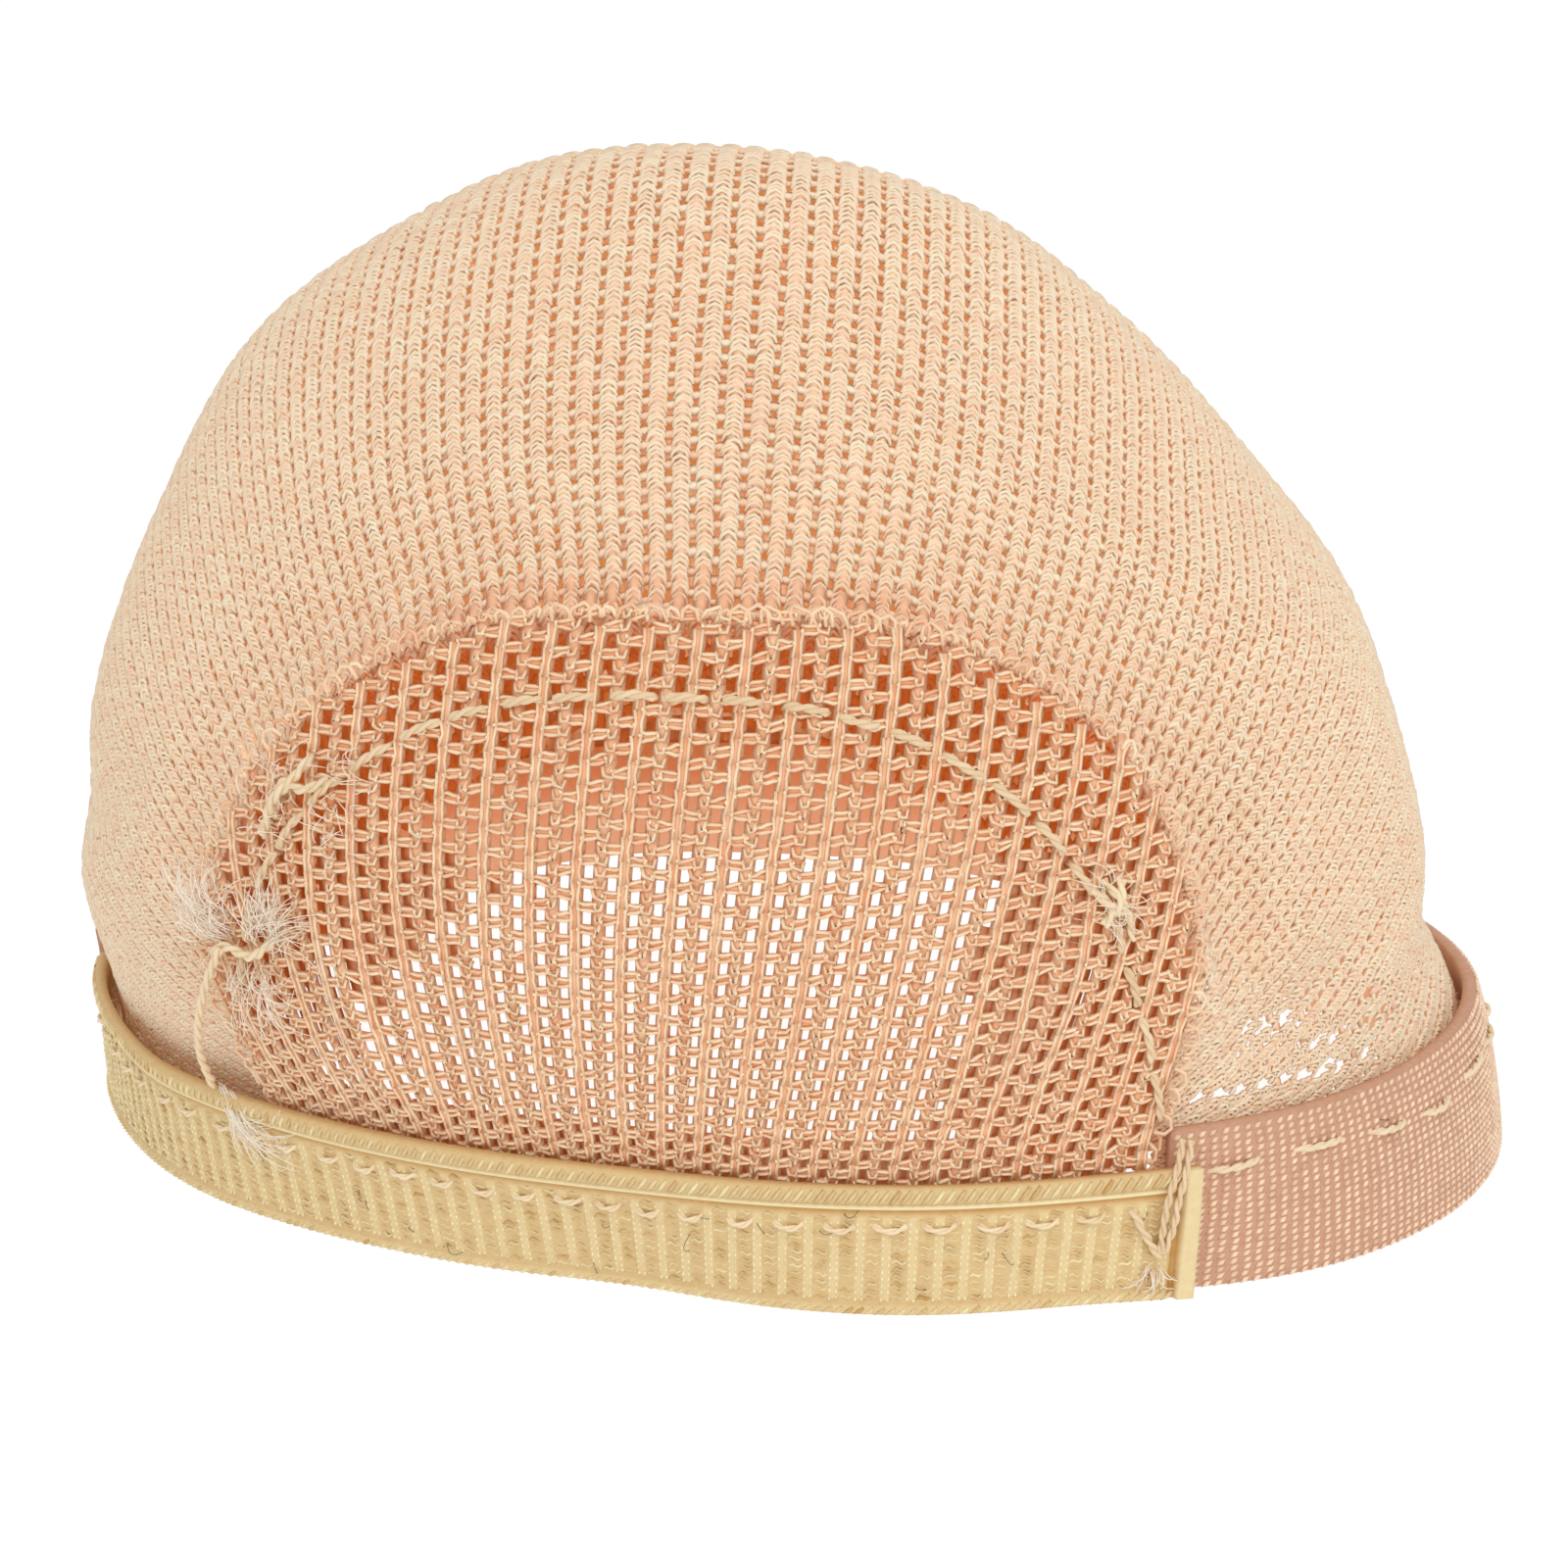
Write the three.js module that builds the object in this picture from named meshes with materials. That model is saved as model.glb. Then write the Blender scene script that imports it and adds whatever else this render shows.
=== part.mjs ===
// A small knitted hair net of the wig-cap kind, for a doll's head, standing on its rim.
// Four sewn pieces: a dome of net, a D-shaped net panel lapped over it at the nape, a woven elastic round the
// nape and left side of the rim, and a woven tape round the rest of the rim.
import * as THREE from 'three';
import { mergeVertices } from 'three/addons/utils/BufferGeometryUtils.js';

// Sizes are in millimetres and angles in degrees. The nape faces -Y and the rim stands on Z = 0.
// Azimuth runs round the rim from the nape, positive towards +X. Elevation rises from the rim's plane to the
// apex. Both are seen from the middle of the dome's rim.
const DOME_CENTRE = { x: 0, y: -3.55 };
const NET_THICKNESS = 1.0;
const TAPE_THICKNESS = 1.0;
const ELASTIC_THICKNESS = 1.0;
const PIECE_GAP = 0.3;
const NET_HEM_HEIGHT = 1.5;

// Layers, counted outwards from the outer face of the crown net.
const CROWN_LAYER = { inner: -NET_THICKNESS, outer: 0 };
const PANEL_LAYER = { inner: PIECE_GAP, outer: PIECE_GAP + NET_THICKNESS };
const TAPE_LAYER = { inner: PIECE_GAP, outer: PIECE_GAP + TAPE_THICKNESS };

// Distance from the rim's middle to the crown net, one row for each elevation and one column for each side.
// The diagonal column makes the right of the nape and the left of the front that much fuller.
const DOME_SECTIONS = [
  { elevation: 0, left: 37.2, right: 39.1, back: 28.3, front: 38.0, diagonal: 3.2 },
  { elevation: 10, left: 38.5, right: 38.6, back: 29.8, front: 38.4, diagonal: 3.0 },
  { elevation: 20, left: 42.3, right: 38.5, back: 32.5, front: 39.2, diagonal: 2.2 },
  { elevation: 32, left: 45.5, right: 40.5, back: 37.2, front: 41.2, diagonal: 1.2 },
  { elevation: 45, left: 49.0, right: 43.7, back: 43.0, front: 44.5, diagonal: 1.3 },
  { elevation: 57, left: 53.0, right: 46.0, back: 48.2, front: 47.5, diagonal: 0.5 },
  { elevation: 68, left: 54.6, right: 49.1, back: 52.8, front: 49.8, diagonal: 0 },
  { elevation: 77, left: 55.2, right: 51.7, back: 56.4, front: 51.6, diagonal: 0 },
  { elevation: 90, left: 53.5, right: 53.5, back: 53.5, front: 53.5, diagonal: 0 },
];
const ARC_PER_DEGREE = 0.68;

// Soft folds. A fold is a straight crest, or a crease where its rise is negative, that leans from upright
// by its slant, positive towards +X at the top, and fades out over its length and width.
const DOME_FOLDS = [
  { azimuth: 58, elevation: 42, slant: -52, length: 17, width: 4.5, rise: 1.1 },
  { azimuth: 84, elevation: 19, slant: 80, length: 16, width: 3.0, rise: -0.9 },
  { azimuth: -84, elevation: 27, slant: 70, length: 9, width: 2.4, rise: -0.9 },
  { azimuth: -62, elevation: 22, slant: 40, length: 8, width: 3.0, rise: 0.8 },
  { azimuth: 52, elevation: 21, slant: 75, length: 9, width: 1.8, rise: -0.7 },
  { azimuth: 28, elevation: 0, slant: 90, length: 9, width: 9, rise: -1.5 },
  { azimuth: -16, elevation: 0, slant: 90, length: 8, width: 9, rise: -0.8 },
];
const PANEL_FOLDS = [
  { azimuth: 22, elevation: 25, slant: 44, length: 6, width: 1.5, rise: 1.0 },
  { azimuth: 17, elevation: 20, slant: 34, length: 5, width: 1.3, rise: -0.5 },
  { azimuth: -40, elevation: 23, slant: -12, length: 6, width: 1.4, rise: 0.7 },
  { azimuth: -31, elevation: 20, slant: -8, length: 5, width: 1.3, rise: -0.5 },
];

// The D-shaped nape panel: a rounded square in azimuth and height. Towards the foot it narrows by the tuck,
// as a share of its width, and moves to the left by the lean.
const PANEL = {
  middle: -8.0, halfSpan: 50.0, top: 35.3, cornerCut: 0.206, cornerPower: 3.3, tuck: 0.2, lean: 5.5,
};
// The crown's own edge under the panel, a half ellipse, and the hollow that the seam pulls into the crown.
const CROWN_CUT = { middle: -8.0, halfSpan: 43.0, top: 30.0 };
const SEAM_HOLLOW = { depth: 1.2, reach: 7.0, fullness: 6.75, fullHeight: 18, archReach: 30, archPower: 3 };

// Rim bands. The elastic's right end laps over the tape, and at the left the two meet. Where the panel lies
// under it the elastic is clear of the net, and to the left of that it comes close.
const ELASTIC = { from: -100.0, to: 35.6, height: 7.0, closeBefore: -92, clearAfter: -60 };
const ELASTIC_ROWS = [
  { height: 0, thickness: 0.8 },
  { height: 0.07, thickness: 1.0 },
  { height: 0.14, thickness: 0.75 },
  { height: 0.8, thickness: 0.75 },
  { height: 0.87, thickness: 1.0 },
  { height: 1, thickness: 0.8 },
];
const TAPE = { from: 34.4, to: 259.0, height: 8.6 };
const FRONT_ARCH = { height: 4.0, fullWithin: 10, goneBeyond: 65 };
// Under the elastic the panel is pressed flat, and from this height up its folds are full.
const FULL_FOLD_HEIGHT = 10.0;

const FINISHES = {
  crownKnit: { color: 0xecc7a6, roughness: 0.85, metalness: 0 },
  napeKnit: { color: 0xe6b490, roughness: 0.85, metalness: 0 },
  wovenElastic: { color: 0xe3ca92, roughness: 0.7, metalness: 0 },
  wovenTape: { color: 0xe0b48f, roughness: 0.8, metalness: 0 },
};

// Grid steps of each shell.
const CROWN_GRID = { columns: 84, rows: 18 };
// Below this elevation the crown's rows follow its edge, and above it they are level rings.
const CROWN_SHOULDER = { elevation: 54, row: 12 / CROWN_GRID.rows };
const PANEL_GRID = { columns: 44, rows: 12 };
const ELASTIC_COLUMNS = 44;
const TAPE_GRID = { columns: 64, rows: 3 };
const HALVING_PASSES = 30;
const WELD_DISTANCE = 1e-4;

const radians = THREE.MathUtils.degToRad;
const bell = (distance, spread) => Math.exp(-((distance / spread) ** 2));

// The shortest turn from one azimuth to another, between -180 and 180.
function turnBetween(from, to) {
  return THREE.MathUtils.euclideanModulo(to - from + 180, 360) - 180;
}

// Smooth curve through one column of the section table. Over the apex it runs on into the opposite column.
function sectionValue(column, opposite, elevation) {
  const last = DOME_SECTIONS.length - 1;
  const beyond = { elevation: 180 - DOME_SECTIONS[last - 1].elevation };
  beyond[column] = DOME_SECTIONS[last - 1][opposite];
  const rows = [...DOME_SECTIONS, beyond];
  const slope = (before, after) =>
    (rows[after][column] - rows[before][column]) / (rows[after].elevation - rows[before].elevation);
  let row = 0;
  while (row < last - 1 && elevation > rows[row + 1].elevation) {
    row += 1;
  }
  const step = rows[row + 1].elevation - rows[row].elevation;
  const t = (elevation - rows[row].elevation) / step;
  const startSlope = slope(Math.max(row - 1, 0), row + 1) * step;
  const endSlope = slope(row, row + 2) * step;
  const start = rows[row][column];
  const rise = rows[row + 1][column] - start;
  return start + t * startSlope
    + t * t * (3 * rise - 2 * startSlope - endSlope)
    + t * t * t * (startSlope + endSlope - 2 * rise);
}

// Distance from the rim's middle to the folded dome in one direction.
function domeRadius(azimuth, elevation) {
  const left = sectionValue('left', 'right', elevation);
  const right = sectionValue('right', 'left', elevation);
  const back = sectionValue('back', 'front', elevation);
  const front = sectionValue('front', 'back', elevation);
  const diagonal = sectionValue('diagonal', 'diagonal', elevation);
  const across = Math.sin(radians(azimuth));
  const behind = Math.cos(radians(azimuth));
  return (left + right) / 2 * across ** 2 + (back + front) / 2 * behind ** 2
    + (right - left) / 2 * across + (back - front) / 2 * behind
    + 2 * diagonal * across * behind
    + foldRise(DOME_FOLDS, azimuth, elevation);
}

// Height of all the folds of a table at one place.
function foldRise(folds, azimuth, elevation) {
  let rise = 0;
  for (const fold of folds) {
    const level = Math.cos(radians(elevation));
    const side = turnBetween(fold.azimuth, azimuth) * level * ARC_PER_DEGREE;
    const up = (elevation - fold.elevation) * ARC_PER_DEGREE;
    const slant = radians(fold.slant);
    const along = side * Math.sin(slant) + up * Math.cos(slant);
    const aside = side * Math.cos(slant) - up * Math.sin(slant);
    rise += fold.rise * bell(along, fold.length) * bell(aside, fold.width);
  }
  return rise;
}

// How deep the seam pulls the crown in just outside the panel's raw edge, deepest at a third of its reach.
function seamHollow(azimuth, elevation) {
  const side = Math.abs(turnBetween(PANEL.middle, azimuth)) / PANEL.halfSpan;
  const height = domeRadius(azimuth, elevation) * Math.sin(radians(elevation)) / PANEL.top;
  const power = SEAM_HOLLOW.archPower;
  const level = (side ** power + height ** power) ** (1 / power);
  const outside = THREE.MathUtils.clamp((level - 1) * SEAM_HOLLOW.archReach / SEAM_HOLLOW.reach, 0, 1);
  const clearOfBands = THREE.MathUtils.smoothstep(height * PANEL.top, TAPE.height, SEAM_HOLLOW.fullHeight);
  return SEAM_HOLLOW.depth * SEAM_HOLLOW.fullness * outside * (1 - outside) ** 2 * clearOfBands;
}

function domePoint(azimuth, elevation, outwards) {
  const reach = domeRadius(azimuth, elevation) + outwards;
  const level = reach * Math.cos(radians(elevation));
  return new THREE.Vector3(
    DOME_CENTRE.x + level * Math.sin(radians(azimuth)),
    DOME_CENTRE.y - level * Math.cos(radians(azimuth)),
    reach * Math.sin(radians(elevation)),
  );
}

// Elevation at which the dome, moved outwards, passes a height, found by halving.
function elevationAtHeight(azimuth, height, outwards) {
  let low = 0;
  let high = 90;
  for (let pass = 0; pass < HALVING_PASSES; pass += 1) {
    const middle = (low + high) / 2;
    const reach = domeRadius(azimuth, middle) + outwards;
    if (reach * Math.sin(radians(middle)) < height) {
      low = middle;
    } else {
      high = middle;
    }
  }
  return low;
}

// Height of the rim above the ground: flat at the nape and sides, arched at the front.
function rimHeight(azimuth) {
  const fromFront = Math.abs(turnBetween(180, azimuth));
  const gone = THREE.MathUtils.smoothstep(fromFront, FRONT_ARCH.fullWithin, FRONT_ARCH.goneBeyond);
  return FRONT_ARCH.height * (1 - gone);
}

// A closed wall between two faces. place(column, row, face) gives a point of the inner face, 0, or outer, 1,
// with column and row as shares of the whole. A wall that wraps joins its last column to its first, and rows
// may meet in one point at the top.
function wall({ columns, rows, wraps, place }) {
  const across = wraps ? columns : columns + 1;
  const positions = [];
  for (let face = 0; face < 2; face += 1) {
    for (let row = 0; row <= rows; row += 1) {
      for (let column = 0; column < across; column += 1) {
        positions.push(...place(column / columns, row / rows, face).toArray());
      }
    }
  }
  const inside = (column, row) => row * across + (column % across);
  const outside = (column, row) => inside(column, row) + (rows + 1) * across;
  const triangles = [];
  const quad = (a, b, c, d) => triangles.push(a, b, c, a, c, d);
  for (let column = 0; column < columns; column += 1) {
    const next = column + 1;
    for (let row = 0; row < rows; row += 1) {
      const above = row + 1;
      quad(outside(column, row), outside(next, row), outside(next, above), outside(column, above));
      quad(inside(column, row), inside(column, above), inside(next, above), inside(next, row));
    }
    quad(inside(column, 0), inside(next, 0), outside(next, 0), outside(column, 0));
    quad(outside(column, rows), outside(next, rows), inside(next, rows), inside(column, rows));
  }
  for (let row = 0; row < rows && !wraps; row += 1) {
    const above = row + 1;
    quad(inside(0, row), outside(0, row), outside(0, above), inside(0, above));
    quad(outside(columns, row), inside(columns, row), inside(columns, above), outside(columns, above));
  }
  const geometry = new THREE.BufferGeometry();
  geometry.setAttribute('position', new THREE.Float32BufferAttribute(positions, 3));
  geometry.setIndex(triangles);
  return withoutEmptyTriangles(mergeVertices(geometry, WELD_DISTANCE));
}

// Where rows meet in one point, welded corners leave triangles with no area. They are dropped here.
function withoutEmptyTriangles(geometry) {
  const kept = [];
  const corners = geometry.index.array;
  for (let first = 0; first < corners.length; first += 3) {
    const [a, b, c] = corners.slice(first, first + 3);
    if (a !== b && b !== c && c !== a) {
      kept.push(a, b, c);
    }
  }
  geometry.setIndex(kept);
  geometry.computeVertexNormals();
  return geometry;
}

function crownNet() {
  const lowestHeight = (azimuth) => {
    const side = turnBetween(CROWN_CUT.middle, azimuth) / CROWN_CUT.halfSpan;
    const cut = CROWN_CUT.top * Math.sqrt(Math.max(1 - side * side, 0));
    return Math.max(cut, rimHeight(azimuth) + NET_HEM_HEIGHT);
  };
  const place = (column, row, face) => {
    const azimuth = CROWN_CUT.middle + 360 * column;
    const lowest = elevationAtHeight(azimuth, lowestHeight(azimuth), 0);
    const shoulder = CROWN_SHOULDER.elevation;
    const elevation = row < CROWN_SHOULDER.row
      ? THREE.MathUtils.lerp(lowest, shoulder, row / CROWN_SHOULDER.row)
      : THREE.MathUtils.mapLinear(row, CROWN_SHOULDER.row, 1, shoulder, 90);
    const layer = face ? CROWN_LAYER.outer : CROWN_LAYER.inner;
    return domePoint(azimuth, elevation, layer - seamHollow(azimuth, elevation));
  };
  return wall({ ...CROWN_GRID, wraps: true, place });
}

function napePanel() {
  const place = (column, row, face) => {
    const side = 2 * column - 1;
    const rounding = (share) => 1 - PANEL.cornerCut * Math.abs(share) ** PANEL.cornerPower;
    const tucked = 1 - PANEL.tuck * (1 - row) ** 2;
    const middle = PANEL.middle - PANEL.lean * (1 - row) ** 2;
    const azimuth = middle + PANEL.halfSpan * side * rounding(row) * tucked;
    const height = THREE.MathUtils.lerp(NET_HEM_HEIGHT, PANEL.top * rounding(side), row);
    const layer = face ? PANEL_LAYER.outer : PANEL_LAYER.inner;
    const elevation = elevationAtHeight(azimuth, height, layer);
    const clearOfBand = THREE.MathUtils.smoothstep(height, ELASTIC.height, FULL_FOLD_HEIGHT);
    return domePoint(azimuth, elevation, layer + clearOfBand * foldRise(PANEL_FOLDS, azimuth, elevation));
  };
  return wall({ ...PANEL_GRID, wraps: false, place });
}

// Layer of the elastic's inner face.
function elasticInner(azimuth) {
  const clear = THREE.MathUtils.smoothstep(azimuth, ELASTIC.closeBefore, ELASTIC.clearAfter);
  return THREE.MathUtils.lerp(PIECE_GAP, PANEL_LAYER.outer + PIECE_GAP, clear);
}

function elasticBand() {
  const rows = ELASTIC_ROWS.length - 1;
  const place = (column, row, face) => {
    const azimuth = THREE.MathUtils.lerp(ELASTIC.from, ELASTIC.to, column);
    const section = ELASTIC_ROWS[Math.round(row * rows)];
    const outwards = elasticInner(azimuth) + face * section.thickness * ELASTIC_THICKNESS;
    const height = rimHeight(azimuth) + section.height * ELASTIC.height;
    return domePoint(azimuth, elevationAtHeight(azimuth, height, outwards), outwards);
  };
  return wall({ columns: ELASTIC_COLUMNS, rows, wraps: false, place });
}

function frontTape() {
  const place = (column, row, face) => {
    const azimuth = THREE.MathUtils.lerp(TAPE.from, TAPE.to, column);
    const outwards = face ? TAPE_LAYER.outer : TAPE_LAYER.inner;
    const height = rimHeight(azimuth) + row * TAPE.height;
    return domePoint(azimuth, elevationAtHeight(azimuth, height, outwards), outwards);
  };
  return wall({ ...TAPE_GRID, wraps: false, place });
}

function cloth(name, geometry, finish) {
  const mesh = new THREE.Mesh(geometry, new THREE.MeshStandardMaterial(finish));
  mesh.name = name;
  return mesh;
}

const hairNet = new THREE.Group();
hairNet.name = 'hair_net';
hairNet.add(
  cloth('crown_net', crownNet(), FINISHES.crownKnit),
  cloth('nape_panel', napePanel(), FINISHES.napeKnit),
  cloth('elastic_band', elasticBand(), FINISHES.wovenElastic),
  cloth('front_tape', frontTape(), FINISHES.wovenTape),
);

export default hairNet;
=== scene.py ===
# %% [markdown]
# # A small knitted hair net, strand by strand
# The real thing is a cap for a doll's head: a dome of warp-knitted net, a second piece of the same net sewn
# on at the nape with its wrong side out, a woven elastic and a woven tape round the rim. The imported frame
# holds those four pieces as plain walls. This lesson dresses them: every wall is replaced by its real
# strands, worked out as whole numpy arrays and put into a few joined meshes.

import bpy
import numpy as np
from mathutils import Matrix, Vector


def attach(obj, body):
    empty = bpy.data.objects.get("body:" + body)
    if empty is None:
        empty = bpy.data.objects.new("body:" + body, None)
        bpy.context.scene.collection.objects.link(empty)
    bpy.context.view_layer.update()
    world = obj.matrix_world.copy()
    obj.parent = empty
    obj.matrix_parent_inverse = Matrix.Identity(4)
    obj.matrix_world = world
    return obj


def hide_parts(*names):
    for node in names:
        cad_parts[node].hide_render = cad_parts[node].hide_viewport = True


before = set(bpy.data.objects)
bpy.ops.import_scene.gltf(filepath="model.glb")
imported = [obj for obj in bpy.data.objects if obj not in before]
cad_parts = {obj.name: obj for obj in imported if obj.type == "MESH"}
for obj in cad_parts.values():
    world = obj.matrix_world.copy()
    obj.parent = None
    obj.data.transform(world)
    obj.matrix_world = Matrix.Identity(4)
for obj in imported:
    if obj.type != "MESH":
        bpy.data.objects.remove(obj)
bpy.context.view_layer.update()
MM = 0.001
SEED = 12
dice = np.random.default_rng(SEED)
print("frame nodes:", sorted(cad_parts))

# %% [markdown]
# ## The form that all pieces share
# Every piece lies on one soft dome, a distance that depends on the direction seen from the middle of the rim.
# A short table gives that distance at nine elevations on four sides, and smooth cubics join its rows. Folds
# are crests and creases added on top. A mesh sculpted by hand would do too, but a formula lets each strand
# ask for its own place. Sizes are millimetres and degrees. Azimuth runs from the nape towards +X.

# %% Sizes of the cap
DOME_CENTRE = (0.0, -3.55)
ELEVATIONS = np.array([0, 10, 20, 32, 45, 57, 68, 77, 90], float)
SECTIONS = {
    "left": np.array([37.2, 38.5, 42.3, 45.5, 49.0, 53.0, 54.6, 55.2, 53.5]),
    "right": np.array([39.1, 38.6, 38.5, 40.5, 43.7, 46.0, 49.1, 51.7, 53.5]),
    "back": np.array([28.3, 29.8, 32.5, 37.2, 43.0, 48.2, 52.8, 56.4, 53.5]),
    "front": np.array([38.0, 38.4, 39.2, 41.2, 44.5, 47.5, 49.8, 51.6, 53.5]),
    "diagonal": np.array([3.2, 3.0, 2.2, 1.2, 1.3, 0.5, 0.0, 0.0, 0.0]),
}
ARC_PER_DEGREE = 0.68
# Columns: azimuth, elevation, slant from upright, length, width, rise.
DOME_FOLDS = [
    (58, 42, -52, 17, 4.5, 1.1),
    (84, 19, 80, 16, 3.0, -0.9),
    (-84, 27, 70, 9, 2.4, -0.9),
    (-62, 22, 40, 8, 3.0, 0.8),
    (52, 21, 75, 9, 1.8, -0.7),
    (28, 0, 90, 9, 9, -1.5),
    (-16, 0, 90, 8, 9, -0.8),
]
PANEL_FOLDS = [
    (22, 25, 44, 6, 1.5, 1.0),
    (17, 20, 34, 5, 1.3, -0.5),
    (-40, 23, -12, 6, 1.4, 0.7),
    (-31, 20, -8, 5, 1.3, -0.5),
]
HEM = 1.5
PANEL_MIDDLE, PANEL_HALF_SPAN, PANEL_TOP = -8.0, 50.0, 35.3
ELASTIC_FROM, ELASTIC_TO, ELASTIC_HEIGHT = -100.0, 35.6, 7.0
TAPE_FROM, TAPE_TO, TAPE_HEIGHT = 34.4, 259.0, 8.6
print("dome table:", len(ELEVATIONS), "elevations,", len(DOME_FOLDS) + len(PANEL_FOLDS), "folds")

# %% Small helpers


def unit(vectors):
    """Vectors scaled to length one."""
    return vectors / np.linalg.norm(vectors, axis=-1, keepdims=True)


def smoothstep(value, low, high):
    """0 below low, 1 above high, and a smooth S between them."""
    t = np.clip((value - low) / (high - low), 0, 1)
    return t * t * (3 - 2 * t)


def turn_between(start, end):
    """The shortest turn from one azimuth to another, between -180 and 180."""
    return (end - start + 180) % 360 - 180


print("shortest turn from 350 to 10 degrees:", turn_between(350, 10))

# %% Distance to the dome


def section_value(column, opposite, elevation):
    """A cubic through each two rows of a table column, whose slope at a row is that between its neighbours.

    Over the apex the curve runs on into the opposite column.
    """
    rows = np.append(ELEVATIONS, 180 - ELEVATIONS[-2])
    values = np.append(SECTIONS[column], SECTIONS[opposite][-2])
    slopes = np.append((values[1] - values[0]) / (rows[1] - rows[0]),
                       (values[2:] - values[:-2]) / (rows[2:] - rows[:-2]))
    row = np.clip(np.searchsorted(ELEVATIONS, elevation) - 1, 0, len(ELEVATIONS) - 2)
    step = rows[row + 1] - rows[row]
    t = (elevation - rows[row]) / step
    leave, arrive = slopes[row] * step, slopes[row + 1] * step
    rise = values[row + 1] - values[row]
    return (values[row] + t * leave + t * t * (3 * rise - 2 * leave - arrive)
            + t ** 3 * (leave + arrive - 2 * rise))


def fold_rise(folds, azimuth, elevation):
    """Sum of bell-shaped crests, each long in its slanted direction and narrow across it."""
    rise = 0
    for fold_azimuth, fold_elevation, slant, length, width, height in folds:
        side = turn_between(fold_azimuth, azimuth) * np.cos(np.radians(elevation)) * ARC_PER_DEGREE
        up = (elevation - fold_elevation) * ARC_PER_DEGREE
        lean = np.radians(slant)
        along = side * np.sin(lean) + up * np.cos(lean)
        aside = side * np.cos(lean) - up * np.sin(lean)
        rise = rise + height * np.exp(-(along / length) ** 2 - (aside / width) ** 2)
    return rise


def dome_radius(azimuth, elevation):
    """Distance to the folded dome: the four sides blended by the sine and cosine of the azimuth."""
    left = section_value("left", "right", elevation)
    right = section_value("right", "left", elevation)
    back = section_value("back", "front", elevation)
    front = section_value("front", "back", elevation)
    diagonal = section_value("diagonal", "diagonal", elevation)
    across, behind = np.sin(np.radians(azimuth)), np.cos(np.radians(azimuth))
    return ((left + right) / 2 * across ** 2 + (back + front) / 2 * behind ** 2
            + (right - left) / 2 * across + (back - front) / 2 * behind
            + 2 * diagonal * across * behind + fold_rise(DOME_FOLDS, azimuth, elevation))


print("dome: distance at the foot of the nape", dome_radius(np.array(0.0), np.array(0.0)).round(2), "mm")

# %% Places on the dome
HALVINGS = 26


def dome_point(azimuth, elevation, outwards):
    """A point of the dome, moved outwards: the direction's unit vector times the distance."""
    reach = dome_radius(azimuth, elevation) + outwards
    level = reach * np.cos(np.radians(elevation))
    return np.stack([DOME_CENTRE[0] + level * np.sin(np.radians(azimuth)),
                     DOME_CENTRE[1] - level * np.cos(np.radians(azimuth)),
                     reach * np.sin(np.radians(elevation))], axis=-1)


def elevation_at_height(azimuth, height, outwards):
    """Elevation at which the dome, moved outwards, passes a height, found by halving."""
    low = np.zeros(np.broadcast(azimuth, height, outwards).shape)
    high = low + 90
    for _ in range(HALVINGS):
        middle = (low + high) / 2
        below = (dome_radius(azimuth, middle) + outwards) * np.sin(np.radians(middle)) < height
        low, high = np.where(below, middle, low), np.where(below, high, middle)
    return low


def surface_frame(surface, first, second, step):
    """Point, two unit tangents and outward unit normal of a surface of two parameters.

    The tangents are differences over a small step of each parameter, the normal is their cross product.
    """
    across = unit(surface(first + step, second) - surface(first - step, second))
    up = unit(surface(first, second + step) - surface(first, second - step))
    return surface(first, second), across, up, unit(np.cross(across, up))


print("dome: apex", dome_point(np.array(0.0), np.array(90.0), 0.0).round(2), "mm")

# %% [markdown]
# ## Camera, floor and light
# The picture is taken from the nape side, 15 degrees above the floor, from about 23 cm away with a long lens.
# The floor is a plain white sheet that glows, like the light table of a product photo, so it stays white
# under the cap too. A bright sky gives the even light, a broad lamp above the camera gives the form, and a
# weak one at the right softens its shadows.

# %% Camera
CAMERA_AIM = Vector((*DOME_CENTRE, 18.9)) * MM
CAMERA_DISTANCE = 229.7 * MM
CAMERA_ELEVATION = np.radians(15)
camera_data = bpy.data.cameras.new("camera")
camera_data.lens = 94.5
camera_data.sensor_width = 36.0
camera_data.clip_start = 0.01
camera = bpy.data.objects.new("camera", camera_data)
camera_back = Vector((0, -np.cos(CAMERA_ELEVATION), np.sin(CAMERA_ELEVATION)))
camera.location = CAMERA_AIM + camera_back * CAMERA_DISTANCE
camera.rotation_mode = "QUATERNION"
camera.rotation_quaternion = (-camera_back).to_track_quat("-Z", "Y")
bpy.context.scene.collection.objects.link(camera)
bpy.context.scene.camera = camera
bpy.context.scene.view_settings.view_transform = "Standard"
print("camera at", [round(x, 4) for x in camera.location])

# %% Light
WHITE = (1, 1, 1, 1)
SKY_STRENGTH = 0.69
# Columns: name, place in millimetres, size in metres, power in watts.
LAMPS = [
    ("key_lamp", (60, -380, 420), 0.40, 0.94),
    ("fill_lamp", (380, -300, 160), 0.35, 0.12),
]


def add_lamp(name, place, size, power):
    """A square area lamp that faces the middle of the cap. Place is in millimetres."""
    lamp = bpy.data.lights.new(name, "AREA")
    lamp.size = size
    lamp.energy = power
    holder = bpy.data.objects.new(name, lamp)
    holder.location = Vector(place) * MM
    holder.rotation_mode = "QUATERNION"
    holder.rotation_quaternion = (CAMERA_AIM - holder.location).to_track_quat("-Z", "Y")
    bpy.context.scene.collection.objects.link(holder)


for lamp_row in LAMPS:
    add_lamp(*lamp_row)
world = bpy.data.worlds.new("studio")
world.use_nodes = True
world.node_tree.nodes["Background"].inputs["Color"].default_value = WHITE
world.node_tree.nodes["Background"].inputs["Strength"].default_value = SKY_STRENGTH
bpy.context.scene.world = world
print("lamps:", len(LAMPS), "and a sky of strength", SKY_STRENGTH)

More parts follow.
